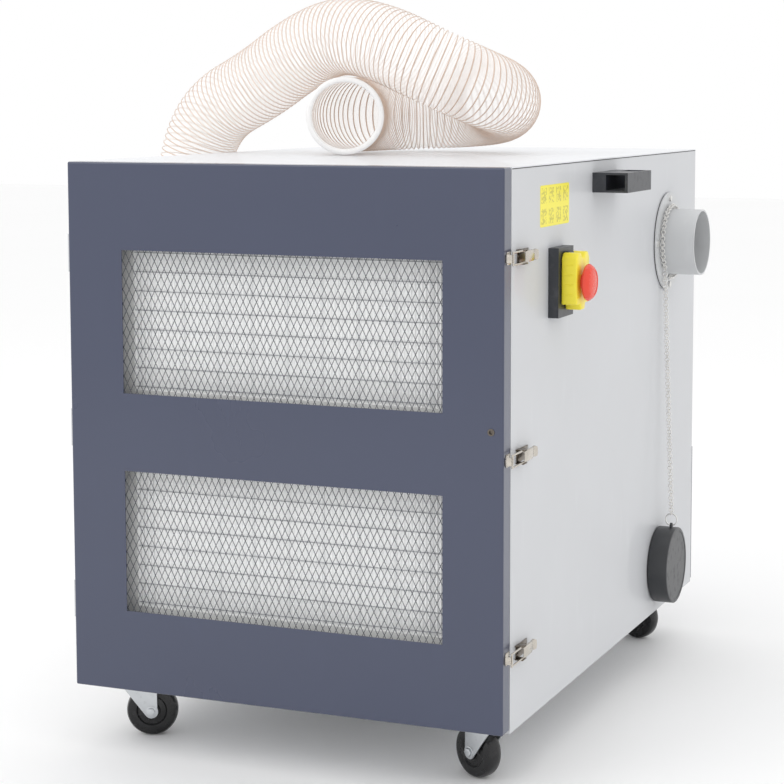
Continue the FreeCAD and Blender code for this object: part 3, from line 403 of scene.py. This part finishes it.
# --------------------------------------------------------------------------------------- operators
class DUST_OT_hose(bpy.types.Operator):
    """Suction hose: clear film over a coppered wire helix, lying on the top in an arch"""

    bl_idname = "dust.hose"
    bl_label = "Suction hose"

    def execute(self, context):
        chosen = settings("hose")
        radius, pitch, facets = chosen.diameter / 2, chosen.pitch, chosen.facets
        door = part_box("door_shell")[0]
        corner = Vector((door.x, door.y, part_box("top_panel")[1].z))
        line = bpy.data.curves.new("hose_line", "CURVE")
        line.dimensions, line.resolution_u, line.use_path = "3D", 24, True
        spline = line.splines.new("NURBS")
        spline.points.add(len(HOSE_ROUTE) - 1)
        for point, place in zip(spline.points, HOSE_ROUTE, strict=True):
            point.co = (*(corner + Vector(place)), 1)
        spline.order_u, spline.use_endpoint_u = 3, True
        guide = bpy.data.objects.new("hose_line", line)
        context.scene.collection.objects.link(guide)
        context.view_layer.update()
        path = [vert.co.copy() for vert in bpy.data.meshes.new_from_object(guide).vertices]
        length = sum((after - before).length for before, after in zip(path, path[1:]))
        turns = math.ceil(length / pitch) + 2

        def wound(profile, closed):
            """A profile (along, out) carried along the X axis as a screw thread, for the hose's length."""
            turn = bmesh.new()
            verts = [turn.verts.new((along - pitch, 0, out)) for along, out in profile]
            pairs = [*zip(verts, verts[1:]), *([(verts[-1], verts[0])] * closed)]
            edges = [turn.edges.new(pair) for pair in pairs]
            bmesh.ops.spin(turn, geom=verts + edges, cent=(0, 0, 0), axis=(1, 0, 0), angle=2 * math.pi,
                           dvec=(pitch / facets, 0, 0), steps=facets)
            bmesh.ops.remove_doubles(turn, verts=turn.verts, dist=WELD)
            thread = repeated(turn, [((pitch, 0, 0), turns)])
            for end, side in ((0.0, -1), (length, 1)):
                bmesh.ops.bisect_plane(thread, geom=[*thread.verts, *thread.edges, *thread.faces],
                                       plane_co=(end, 0, 0), plane_no=(side, 0, 0), clear_outer=True)
            bmesh.ops.recalc_face_normals(thread, faces=thread.faces)
            return thread

        def bent(name, shape, material, stands_for=()):
            """Bends a straight piece to the hose's line and keeps the bent mesh."""
            piece = finished(name, shape, material, "cabinet", stands_for, crease=80)
            bend = piece.modifiers.new("bend", "CURVE")
            bend.object, bend.deform_axis = guide, "POS_X"
            kept(piece)
            return piece

        valley = radius - chosen.sag
        crest, slope = radius - 0.5 * MM, radius - 0.4 * chosen.sag
        wave = [(0, crest), (0.2 * pitch, slope), (0.5 * pitch, valley), (0.8 * pitch, slope), (pitch, crest)]
        film = bent("hose_film", wound(wave, False), self.film_finish(), ["hose"])
        ring = [(chosen.wire / 2 * math.cos(turn * math.pi / 3),
                 radius - chosen.wire * 0.5 + chosen.wire / 2 * math.sin(turn * math.pi / 3))
                for turn in range(6)]
        wire = bent("hose_wire", wound(ring, True), self.wire_finish())
        cuff = bmesh.new()
        lathe(cuff, [(radius - 1.2 * MM, -0.8 * MM), (radius, 0.6 * MM), (radius, 9 * MM),
                     (radius - 1.5 * MM, 14 * MM), (radius - 8 * MM, 12 * MM), (radius - 8.5 * MM, 1 * MM),
                     (radius - 7 * MM, -1.0 * MM), (radius - 4 * MM, -1.4 * MM)],
              facing(path[0], path[1] - path[0]), 64, closed=True)
        cuff = finished("hose_cuff", cuff, self.cuff_finish(), "cabinet", crease=60)
        bpy.data.objects.remove(guide)
        return {"FINISHED"}

    def film_finish(self):
        film = Finish("hose_film")
        clouds = film.noise(30.0, 3.0)
        colour = settings("hose").film
        return film.surface(
            Base_Color=film.blend(clouds, tint(colour, 0.97), tint(colour, 1.05)),
            Roughness=0.16 + clouds * 0.12, Coat_Weight=0.3,
            # The emission is a painted glow: a faint peach light stands in for studio light shining through the
            # thin film, though the film is no lamp.
            Emission_Color=(1.0, 0.94, 0.89, 1), Emission_Strength=0.16,
            Alpha=film.between(clouds, 0.3, 0.7, 0.40, 0.48),
            Normal=film.relief(film.noise(90.0, 1.0), 0.12 * MM))

    def wire_finish(self):
        wire = Finish("hose_wire")
        clouds = wire.noise(45.0, 2.0)
        colour = settings("hose").copper
        return wire.surface(Base_Color=wire.blend(clouds, tint(colour, 1.1), tint(colour, 1.5)),
                            Roughness=0.3 + clouds * 0.1, Metallic=0.25)

    def cuff_finish(self):
        cuff = Finish("hose_cuff")
        clouds = cuff.noise(30.0, 3.0)
        return cuff.surface(Base_Color=cuff.blend(clouds, (0.96, 0.95, 0.94, 1), (0.99, 0.985, 0.98, 1)),
                            Roughness=0.22 + clouds * 0.1, Coat_Weight=0.4, Alpha=0.9)


class DUST_OT_mesh(bpy.types.Operator):
    """Expanded mesh behind the door's windows"""

    bl_idname = "dust.mesh"
    bl_label = "Expanded mesh"

    def execute(self, context):
        chosen = settings("door")
        low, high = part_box("door_grilles")
        wide, tall, strand = chosen.diamond_width, chosen.diamond_height, chosen.strand
        shape = bmesh.new()
        columns = round((high.x - low.x) / wide) - 1
        rows = round((chosen.window_height + 2 * chosen.hidden) / tall)
        hollow = 1 - 1.05 * strand / wide
        for centre in window_centres():
            cell = bmesh.new()
            for place in (0.5, 1.0):
                rings = [[cell.verts.new((low.x + wide * (place + size * x), (low.y + high.y) / 2,
                                          centre - tall * rows / 2 + tall * (place - 0.25 + size * z)))
                          for x, z in ((0, -0.5), (0.5, 0), (0, 0.5), (-0.5, 0))] for size in (1, hollow)]
                for step in range(4):
                    after = (step + 1) % 4
                    cell.faces.new((rings[0][step], rings[0][after], rings[1][after], rings[1][step]))
            added(shape, repeated(cell, [((wide, 0, 0), columns), ((0, 0, tall), rows)]))
        bmesh.ops.recalc_face_normals(shape, faces=shape.faces)
        piece = finished("expanded_mesh", shape, self.finish(), "door", ["door_grilles"],
                         crease=20)
        wall = piece.modifiers.new("gauge", "SOLIDIFY")
        wall.thickness, wall.offset = 0.4 * MM, 0
        return {"FINISHED"}

    def finish(self):
        return bare_metal("mesh_steel", (0.11, 0.115, 0.13), 0.45)


class DUST_OT_filters(bpy.types.Operator):
    """Mini-pleat filter packs: folded white paper with glue beads across the folds"""

    bl_idname = "dust.filters"
    bl_label = "Pleated filters"

    def execute(self, context):
        chosen = settings("door")
        low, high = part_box("filter_media")
        paper, beads = bmesh.new(), bmesh.new()
        height = (OPENINGS["upper_filter_seat"][1] - OPENINGS["upper_filter_seat"][0]).z + 8 * MM
        folds = round((high.x - low.x) / chosen.pleat)
        step = (high.x - low.x) / folds
        front, back = low.y + 0.6 * MM, low.y + 3 * MM
        for centre in window_centres():
            top = [paper.verts.new((low.x + step * fold / 2, back if fold % 2 else front, centre - height / 2))
                   for fold in range(2 * folds + 1)]
            edges = [paper.edges.new(pair) for pair in zip(top, top[1:])]
            raised = bmesh.ops.extrude_edge_only(paper, edges=edges)["geom"]
            bmesh.ops.translate(paper, vec=(0, 0, height),
                                verts=[part for part in raised if isinstance(part, bmesh.types.BMVert)])
            block(paper, (low.x, back, centre - height / 2), (high.x, high.y, centre + height / 2))
            count = math.floor(height / chosen.bead_pitch)
            for bead in range(count + 1):
                z = centre + (bead - count / 2) * chosen.bead_pitch
                if abs(z - centre) < height / 2 - 2 * MM:
                    block(beads, (low.x, front - 0.4 * MM, z - 0.5 * MM),
                          (high.x, front + 1.5 * MM, z + 0.5 * MM))
        ease(beads, 0.4 * MM, 1)
        finished("pleated_paper", paper, self.paper_finish(), "cabinet", ["filter_media"],
                 crease=20)
        finished("glue_beads", beads, self.bead_finish(), "cabinet")
        return {"FINISHED"}

    def paper_finish(self):
        paper = Finish("filter_paper")
        fibres = paper.noise(900.0, 4.0, (1, 1, 0.3))
        across, _, _ = paper.axes()
        seam = (across.beat(0.050) < 0.9 * MM) * 0.45
        clouds = paper.noise(9.0, 3.0)
        colour = paper.blend(clouds, (0.955, 0.96, 0.965, 1), (0.98, 0.98, 0.98, 1))
        return paper.surface(Base_Color=paper.blend(seam, colour, (0.45, 0.46, 0.48, 1)),
                             Roughness=0.85 + fibres * 0.1, Normal=paper.relief(fibres, 0.1 * MM))

    def bead_finish(self):
        bead = Finish("glue_bead")
        clouds = bead.noise(120.0, 3.0)
        return bead.surface(Base_Color=bead.blend(clouds, (0.30, 0.31, 0.33, 1), (0.52, 0.53, 0.55, 1)),
                            Roughness=0.5 + clouds * 0.2)


class DUST_OT_switch(bpy.types.Operator):
    """No-volt switch: lobed yellow cover and red mushroom head"""

    bl_idname = "dust.switch"
    bl_label = "Switch cover and mushroom"

    def execute(self, context):
        low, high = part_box("switch_cover")
        centre = (low + high) / 2
        shape = bmesh.new()
        width, top, bottom = 26 * MM, high.z - 4 * MM, low.z + 9 * MM
        outline = [(-width, bottom), (-10 * MM, bottom), (-8 * MM, bottom - 8 * MM), (8 * MM, bottom - 8 * MM),
                   (10 * MM, bottom), (width, bottom), (width, top - 4 * MM), (20 * MM, top + 3 * MM),
                   (9 * MM, top + 3 * MM), (4 * MM, top - 4 * MM), (-4 * MM, top - 4 * MM),
                   (-9 * MM, top + 3 * MM), (-20 * MM, top + 3 * MM), (-width, top - 4 * MM)]
        face = shape.faces.new([shape.verts.new((low.x + 0.3 * MM, centre.y + y, z)) for y, z in outline])
        pulled(shape, face, (high.x - low.x - 0.6 * MM, 0, 0))
        bmesh.ops.recalc_face_normals(shape, faces=shape.faces)
        ease(shape, 2.2 * MM, 3)
        for side in (-1, 1):
            for rib in range(4):
                z = bottom + 12 * MM + rib * 13 * MM
                ribbed = block(shape, (low.x + 3 * MM, centre.y + side * width - 0.6 * MM, z),
                               (high.x - 5 * MM, centre.y + side * width + 0.6 * MM, z + 1.6 * MM))
                ease(shape, 0.5 * MM, 1, verts=ribbed)
        chosen = settings("cabinet")
        finished("switch_cover_shell", shape, moulded("yellow_plastic", chosen.yellow, 0.28, dust=0.04),
                 "switch_cover", ["switch_cover"])
        low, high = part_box("stop_mushroom")
        head = bmesh.new()
        radius = (high.y - low.y) / 2
        depth = 14.2 * MM
        profile = [(9 * MM, -6 * MM), (9.5 * MM, 0), (radius * 0.72, 0.6 * MM), (radius * 0.96, 2 * MM),
                   (radius, 4.2 * MM), (radius * 0.97, depth * 0.42), (radius * 0.86, depth * 0.66),
                   (radius * 0.74, depth * 0.80), (radius * 0.70, depth * 0.80),
                   (radius * 0.66, depth * 0.74),
                   (radius * 0.55, depth * 0.80), (radius * 0.30, depth * 0.86), (0, depth * 0.88)]
        centre = middle("stop_mushroom")
        lathe(head, profile, facing((high.x - 0.88 * depth - 0.3 * MM, centre.y, centre.z), (1, 0, 0)), 56)
        finished("mushroom_head", head, moulded("red_plastic", chosen.red, 0.25, dust=0.03), "stop_mushroom",
                 ["stop_mushroom"], crease=40)
        return {"FINISHED"}


class DUST_OT_latches(bpy.types.Operator):
    """Toggle latches: pressed base, flared lever, wire bail and the hook on the door"""

    bl_idname = "dust.latches"
    bl_label = "Toggle latches"

    def execute(self, context):
        bright = bare_metal("nickel", (0.58, 0.54, 0.48), 0.18)
        # The bases get dark steel as painted shade: it stands in for the dark shadow lines in each latch's body
        # around the lever.
        dark = bare_metal("latch_steel", (0.17, 0.14, 0.11), 0.24)
        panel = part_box("right_side_panel")[1].x
        bases, keepers = bmesh.new(), bmesh.new()
        for level in LEVELS:
            lever_box, bail_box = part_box(f"latch_lever_{level}"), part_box(f"latch_bail_{level}")
            middle_z = (lever_box[0].z + lever_box[1].z) / 2
            pin = Vector(JOINTS[f"latch_lever_{level}_hinge"]["pos_m"])
            self.base(bases, panel, pin, middle_z)
            self.keeper(keepers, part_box("latch_keepers")[0].x, bail_box[0].y, middle_z)
            finished(f"lever_{level}", self.lever(lever_box, pin), bright, f"latch_lever_{level}",
                     [f"latch_lever_{level}"], crease=50)
            finished(f"bail_{level}", self.bail(bail_box), bright, f"latch_bail_{level}",
                     [f"latch_bail_{level}"], crease=60)
        finished("latch_base_set", bases, dark, "cabinet", ["latch_bases"], crease=50)
        finished("latch_hook_set", keepers, bright, "door", ["latch_keepers"], crease=50)
        return {"FINISHED"}

    def base(self, shape, panel, pin, middle_z):
        """A plate with two ears at the pin and a rivet at each end."""
        half = 8.5 * MM
        start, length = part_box("latch_bases")[0].y + 4 * MM, 40 * MM
        parts = block(shape, (panel, start, middle_z - half),
                      (panel + 1.2 * MM, start + length, middle_z + half))
        for side in (-1, 1):
            parts += block(shape, (panel, pin.y - 7 * MM, middle_z + side * half - 1.0 * MM),
                           (pin.x + 3 * MM, pin.y + 7 * MM, middle_z + side * half + 0.4 * MM))
        ease(shape, 0.4 * MM, 2, verts=parts)
        for place in (start + 5 * MM, start + length - 5 * MM):
            lathe(shape, [(3 * MM, 0), (2.8 * MM, 0.9 * MM), (1.6 * MM, 1.5 * MM), (0, 1.7 * MM)],
                  facing((panel + 1.1 * MM, place, middle_z), (1, 0, 0)), 20)

    def keeper(self, shape, inner, tip, middle_z):
        """A pointed plate folded out into the hook that the bail grips."""
        low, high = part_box("latch_keepers")
        half = 8 * MM
        outline = [(low.y + 2 * MM, -half * 0.4), (low.y + 5 * MM, -half), (high.y, -half), (high.y, half),
                   (low.y + 5 * MM, half), (low.y + 2 * MM, half * 0.4)]
        face = shape.faces.new([shape.verts.new((inner, y, middle_z + z)) for y, z in outline])
        moved = pulled(shape, face, (1.2 * MM, 0, 0))
        hook = block(shape, (inner, tip - 3.4 * MM, middle_z - 5 * MM),
                     (high.x, tip - 1.6 * MM, middle_z + 5 * MM))
        bmesh.ops.recalc_face_normals(shape, faces=shape.faces)
        ease(shape, 0.4 * MM, 2, verts=hook + list(face.verts) + moved)

    def lever(self, box, pin):
        """A channel over the base whose free end flares out to be gripped."""
        low, high = box
        middle_z = (low.z + high.z) / 2
        half = (high.z - low.z) / 2 - 1.2 * MM
        shape = bmesh.new()
        line = [(low.y + 2 * MM, high.x - 1.4 * MM, 0.86), (low.y + 8 * MM, high.x - 0.2 * MM, 1.0),
                (high.y - 16 * MM, high.x - 0.8 * MM, 0.92), (high.y - 9 * MM, high.x - 2.6 * MM, 0.80),
                (high.y - 4 * MM, high.x - 1.6 * MM, 0.95), (high.y - 1 * MM, high.x - 0.2 * MM, 0.80)]
        rows = []
        for y, x, wide in line:
            rows.append([shape.verts.new((x - drop, y, middle_z + z * half * wide))
                         for z, drop in ((-1, 3 * MM), (-0.94, 0.5 * MM), (-0.5, 0),
                                         (0.5, 0), (0.94, 0.5 * MM), (1, 3 * MM))])
        for before, after in zip(rows, rows[1:]):
            for step in range(len(before) - 1):
                shape.faces.new((before[step], before[step + 1], after[step + 1], after[step]))
        bmesh.ops.subdivide_edges(shape, edges=shape.edges, cuts=1, smooth=1.0, use_grid_fill=True)
        bmesh.ops.recalc_face_normals(shape, faces=shape.faces)
        bmesh.ops.solidify(shape, geom=shape.faces, thickness=0.9 * MM)
        return shape

    def bail(self, box):
        """The wire loop between the lever and the hook."""
        low, high = box
        gauge = 1.3 * MM
        x = (low.x + high.x) / 2
        shape = bmesh.new()
        for side in (-1, 1):
            z = (low.z + high.z) / 2 + side * ((high.z - low.z) / 2 - gauge)
            bmesh.ops.create_cone(shape, cap_ends=True, segments=12, radius1=gauge, radius2=gauge,
                                  depth=high.y - low.y - 2 * gauge,
                                  matrix=facing((x, (low.y + high.y) / 2, z), (0, 1, 0)))
        bmesh.ops.create_cone(shape, cap_ends=True, segments=12, radius1=gauge, radius2=gauge,
                              depth=high.z - low.z,
                              matrix=facing((x, low.y + gauge, (low.z + high.z) / 2), (0, 0, 1)))
        return shape


class DUST_OT_cap(bpy.types.Operator):
    """Moulded cap for the inlet, hanging on its chain"""

    bl_idname = "dust.cap"
    bl_label = "Inlet cap"

    def execute(self, context):
        low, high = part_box("inlet_cap")
        radius, depth = (high.y - low.y) / 2, high.x - low.x
        centre = Vector((low.x, (low.y + high.y) / 2, low.z + radius))
        wall, lip, step = 7.5 * MM, 1.2 * MM, 0.6 * MM
        shape = bmesh.new()
        lathe(shape, [(0, depth - 4 * MM), (radius - wall, depth - 4 * MM), (radius - wall, 0),
                      (radius - lip, 0), (radius, lip), (radius, depth - lip),
                      (radius - lip / 3, depth - lip / 3), (radius - lip, depth), (radius - 4 * lip, depth),
                      (radius - 4.5 * lip, depth - step), (0, depth - step)],
              facing(centre, (1, 0, 0)), 96)
        ring = Vector(JOINTS["cap_swing"]["pos_m"])
        tab = block(shape, (ring.x - 1.5 * MM, centre.y - 4 * MM, low.z + 2 * radius - 2 * MM),
                    (ring.x + 1.5 * MM, centre.y + 4 * MM, ring.z - 2 * MM))
        ease(shape, 0.5 * MM, 2, verts=tab)
        eye = [(4.6 * MM, -1.4 * MM), (4.6 * MM, 1.4 * MM), (2.2 * MM, 1.4 * MM), (2.2 * MM, -1.4 * MM)]
        lathe(shape, eye, facing(ring, (1, 0, 0)), 24, closed=True)
        finished("cap_moulding", shape, moulded("cap_plastic", (0.030, 0.032, 0.036), 0.34, dust=0.01),
                 "inlet_cap", ["inlet_cap"], crease=40)
        return {"FINISHED"}


class DUST_OT_wheels(bpy.types.Operator):
    """Castors: black rubber tyres on moulded hubs, in pressed forks"""

    bl_idname = "dust.wheels"
    bl_label = "Castors"

    def execute(self, context):
        tyre = moulded("tyre_rubber", (0.006, 0.006, 0.007), 0.24, dust=0.01)
        steel = bare_metal("fork_zinc", (0.62, 0.64, 0.66), 0.26)
        for corner in CORNERS:
            node = f"castor_wheel_{corner}"
            row = JOINTS[f"castor_roll_{corner}"]
            low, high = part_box(node)
            radius = (high.z - low.z) / 2
            half = 11.6 * MM
            shape = bmesh.new()
            profile = [(4.2 * MM, -half), (11 * MM, -half), (12 * MM, -half + 1.5 * MM),
                       (19 * MM, -half + 2.5 * MM), (21 * MM, -half + 0.6 * MM),
                       (radius - 6 * MM, -half + 0.2 * MM), (radius - 2.4 * MM, -half + 1.8 * MM),
                       (radius - 0.5 * MM, -half + 5 * MM), (radius, -2 * MM)]
            profile += [(out, -along) for out, along in reversed(profile)]
            lathe(shape, profile, facing(row["pos_m"], row["axis"]), 64, closed=True)
            finished(f"tyre_{corner}", shape, tyre, node, [node], crease=32)
            self.fork(corner, steel)
        return {"FINISHED"}

    def fork(self, corner, steel):
        """Pressed fork: round ball race, crown and two sides that narrow to the axle bolt."""
        node = f"castor_fork_{corner}"
        hub, pivot = (Vector(JOINTS[f"castor_{move}_{corner}"]["pos_m"]) for move in ("roll", "swivel"))
        ahead = Vector((hub.x - pivot.x, hub.y - pivot.y, 0))
        trail, ahead = ahead.length, ahead.normalized()
        across = Vector((0, 0, 1)).cross(ahead)
        frame_of_fork = Matrix.Translation(hub) @ Matrix((ahead, across, (0, 0, 1))).transposed().to_4x4()
        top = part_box(node)[1].z - 5 * MM - hub.z
        inner, gauge, race, eye = 13.5 * MM, 2.5 * MM, 18 * MM, 9.5 * MM
        shape = bmesh.new()
        outline = [(-trail - race, top), (-trail - race, top - 8 * MM)]
        outline += [(eye * math.cos(math.radians(turn)), eye * math.sin(math.radians(turn)))
                    for turn in range(210, 391, 20)]
        outline += [(8 * MM, top - 10 * MM), (4 * MM, top)]
        for side in (-1, 1):
            face = shape.faces.new([shape.verts.new((x, side * inner, z)) for x, z in outline])
            pulled(shape, face, (0, side * gauge, 0))
            out = facing((0, side * (inner + gauge), 0), (0, side, 0))
            lathe(shape, [(0, 0), (8 * MM, 0), (8 * MM, 0.8 * MM), (0, 0.8 * MM)], out, 32)
            lathe(shape, [(0, 0.8 * MM), (5.8 * MM, 0.8 * MM), (6 * MM, 1.2 * MM), (6 * MM, 3.2 * MM),
                          (5.4 * MM, 3.8 * MM), (0, 3.8 * MM)], out, 6)
        block(shape, (-trail - race, -inner - gauge, top - gauge), (4 * MM, inner + gauge, top))
        bmesh.ops.recalc_face_normals(shape, faces=shape.faces)
        ease(shape, 0.5 * MM, 2)
        lathe(shape, [(0, 0), (race + 1.5 * MM, 0), (race + 2.5 * MM, 1.5 * MM), (race + 1 * MM, 3.6 * MM),
                      (0, 3.6 * MM)],
              Matrix.Translation((-trail, 0, top)), 48)
        lathe(shape, [(4 * MM, -inner), (4 * MM, inner)], facing((0, 0, 0), (0, 1, 0)), 24)
        bmesh.ops.transform(shape, matrix=frame_of_fork, verts=shape.verts)
        finished(f"fork_{corner}", shape, steel, node, [node], crease=32)


class DUST_OT_label(bpy.types.Operator):
    """Yellow label with two rows of plain generic marks"""

    bl_idname = "dust.label"
    bl_label = "Label"

    def execute(self, context):
        low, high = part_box("safety_label")
        shape = bmesh.new()
        block(shape, low, high)
        corners = [edge for edge in shape.edges if abs((edge.verts[0].co - edge.verts[1].co).x) > 0]
        bmesh.ops.bevel(shape, geom=corners, offset=3 * MM, affect="EDGES", segments=5, profile=0.5,
                        material=-1)
        film = Finish("label_film")
        _, along, up = film.axes()
        wide, tall = (high.y - low.y) / 4, (high.z - low.z) / 2
        across, rise = (along - low.y).beat(wide), (up - low.z).beat(tall)
        frame_line = ((across > wide * 0.5 - 4.2 * MM) + (rise > tall * 0.5 - 3.4 * MM)) > 0.5
        mark = film.add("ShaderNodeTexVoronoi", {"feature": "F1"}, Vector=film.place(), Scale=260.0)
        ink = (1 - frame_line) * (mark > 0.52) * 0.5
        clouds = film.noise(40.0, 3.0)
        colour = film.blend(clouds, tint(settings("cabinet").yellow, 0.96), tint((0.94, 0.88, 0.06)))
        material = film.surface(Base_Color=film.blend(ink, colour, (0.30, 0.26, 0.03, 1)),
                                Roughness=0.3 + clouds * 0.1)
        finished("label_sheet", shape, material, "cabinet", ["safety_label"])
        return {"FINISHED"}


class DUST_OT_seams(bpy.types.Operator):
    """Dark strip where the top sheet's lip closes on the side panels: a painted shadow of the gap between them."""

    bl_idname = "dust.seams"
    bl_label = "Panel seams"

    def execute(self, context):
        shape = bmesh.new()
        proud, tall = 0.25 * MM, 1.2 * MM
        for node, side in (("left_side_panel", 0), ("right_side_panel", 1)):
            low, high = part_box(node)
            face = (low, high)[side].x
            strip = block(shape, (face - proud, low.y + 2 * MM, high.z - tall),
                          (face + proud, high.y - 2 * MM, high.z))
            ease(shape, 0.1 * MM, 1, verts=strip)
        # The strip's near-black colour is painted shadow of the gap between the top sheet and the side panel.
        finished("panel_seams", shape, moulded("seam_gap_shadow", (0.05, 0.05, 0.055), 0.6, dust=0.05), "cabinet")
        return {"FINISHED"}


class DUST_OT_finishes(bpy.types.Operator):
    """Finishes of the sheet metal, fittings and inside parts that keep their own shape"""

    bl_idname = "dust.finishes"
    bl_label = "Finishes"

    def execute(self, context):
        pale = settings("cabinet").pale
        slate = settings("door").slate
        chain = bare_metal("chain_steel", (0.80, 0.79, 0.77), 0.25)
        latch_dark = bare_metal("latch_steel", (0.16, 0.14, 0.12), 0.30)
        zinc = bare_metal("zinc_steel", (0.70, 0.71, 0.70), 0.30)
        galvanised = bare_metal("galvanised", (0.58, 0.59, 0.60), 0.38)
        rubber = moulded("seal_rubber", (0.02, 0.02, 0.02), 0.7)
        black = moulded("black_plastic", (0.030, 0.033, 0.040), 0.34, dust=0.05)
        white_board = moulded("filter_board", (0.86, 0.86, 0.85), 0.6, dust=0.05)
        chosen = {
            powder_coat("slate_paint", slate, roughness=0.24, coat=0.55): ["door_shell", "drawer_front"],
            powder_coat("white_paint", pale): [
                "base_pan", "left_side_panel", "right_side_panel", "rear_panel", "front_frame",
                "door_hinge_leaves", "cabinet_hinge_leaves"],
            # The top panel takes the pale paint made lighter: painted light, standing for the light that falls on
            # the top from above.
            powder_coat("top_paint_lit_tint", tint(pale, 1.28)[:3], roughness=0.36): ["top_panel"],
            powder_coat("spigot_paint", (0.60, 0.61, 0.62), roughness=0.35): ["inlet_spigot"],
            galvanised: ["filter_carrier", "fan_partition", "motor_mount", "drawer_runners", "dust_drawer",
                         "grille_retainers"],
            white_board: ["filter_frames"],
            rubber: ["door_gasket", "inlet_gasket"],
            chain: ["hanging_chain", "chain_loop", "inlet_screws", "rear_screws"],
            latch_dark: ["door_lock"],
            zinc: ["castor_plates", "castor_bolts", "drawer_handle"],
            black: ["carry_handle", "switch_base", "cable_gland"],
            moulded("red_button", settings("cabinet").red, 0.25): ["stop_button"],
            moulded("green_button", (0.04, 0.40, 0.10), 0.25): ["start_button"],
            powder_coat("motor_paint", (0.16, 0.18, 0.20)): ["motor"],
            bare_metal("fan_aluminium", (0.75, 0.76, 0.77), 0.35): ["impeller"],
            moulded("cartridge_cloth", (0.84, 0.85, 0.83), 0.85): ["prefilter_cartridge"],
        }
        for material, nodes in chosen.items():
            for node in nodes:
                mesh = frame["nodes"][node].data
                mesh.materials.clear()
                mesh.materials.append(material)
        return {"FINISHED"}


class DUST_OT_stage(bpy.types.Operator):
    """Pale floor, soft lights and the camera"""

    bl_idname = "dust.stage"
    bl_label = "Stage"

    def execute(self, context):
        chosen = settings("stage")
        scene = context.scene
        shape = bmesh.new()
        bmesh.ops.create_grid(shape, x_segments=2, y_segments=2, size=FLOOR_HALF)
        mesh = bpy.data.meshes.new("floor")
        shape.to_mesh(mesh)
        shape.free()
        floor = bpy.data.objects.new("floor", mesh)
        scene.collection.objects.link(floor)
        pale = Finish("floor")
        clouds = pale.noise(0.8, 2.0)
        colour = pale.blend(clouds, (0.96, 0.96, 0.96, 1), (0.98, 0.98, 0.98, 1))
        mesh.materials.append(pale.surface(Base_Color=colour, Roughness=0.75))
        world = bpy.data.worlds.new("studio")
        scene.world = world
        world.use_nodes = True
        world.node_tree.nodes["Background"].inputs["Color"].default_value = (1, 1, 1, 1)
        world.node_tree.nodes["Background"].inputs["Strength"].default_value = 1.0
        lamps = (("key", (-1.6, -2.6, 2.6), 2.2, 22), ("side", (3.2, -0.6, 1.6), 2.4, 2),
                 ("above", (0.2, 0.4, 3.2), 2.8, 9))
        for name, place, width, power in lamps:
            light = bpy.data.lights.new(name, "AREA")
            light.energy, light.size = power, width
            lamp = bpy.data.objects.new(name, light)
            lamp.matrix_world = facing(place, Vector(place) - LAMP_AIM)
            scene.collection.objects.link(lamp)
        camera = bpy.data.cameras.new("camera")
        camera.lens, camera.sensor_width = chosen.lens, 36
        camera.shift_x, camera.shift_y = -0.06, -0.12
        camera.clip_start, camera.clip_end = 0.05, 60
        eye = bpy.data.objects.new("camera", camera)
        eye.location = chosen.place
        eye.rotation_euler = (math.pi / 2 - chosen.tip, 0, chosen.turn)
        scene.collection.objects.link(eye)
        scene.camera = eye
        scene.view_settings.view_transform = "Standard"
        return {"FINISHED"}


OPERATORS = (DUST_OT_stage, DUST_OT_hose, DUST_OT_mesh, DUST_OT_filters, DUST_OT_switch, DUST_OT_latches,
             DUST_OT_cap, DUST_OT_wheels, DUST_OT_label, DUST_OT_seams, DUST_OT_finishes)
GROUPS = {"hose": HoseSettings, "door": DoorSettings, "cabinet": CabinetSettings, "stage": StageSettings}


class DUST_PT_panel(bpy.types.Panel):
    """Every piece of the dust collector, with its settings"""

    bl_idname = "DUST_PT_panel"
    bl_label = "Dust collector"
    bl_space_type = "VIEW_3D"
    bl_region_type = "UI"
    bl_category = "Dust collector"

    def draw(self, context):
        for operator in OPERATORS:
            self.layout.operator(operator.bl_idname)
        for group, kind in GROUPS.items():
            box = self.layout.box()
            for name in kind.__annotations__:
                box.prop(settings(group), name)


def register():
    for kind in (*GROUPS.values(), *OPERATORS, DUST_PT_panel):
        bpy.utils.register_class(kind)
    for name, kind in GROUPS.items():
        setattr(bpy.types.Scene, f"dust_{name}", PointerProperty(type=kind))


def unregister():
    for name in GROUPS:
        delattr(bpy.types.Scene, f"dust_{name}")
    for kind in (DUST_PT_panel, *reversed(OPERATORS), *reversed(GROUPS.values())):
        bpy.utils.unregister_class(kind)


def main():
    register()
    for operator in OPERATORS:
        group, name = operator.bl_idname.split(".")
        getattr(getattr(bpy.ops, group), name)()
    bpy.context.view_layer.update()


if __name__ == "__main__":
    main()
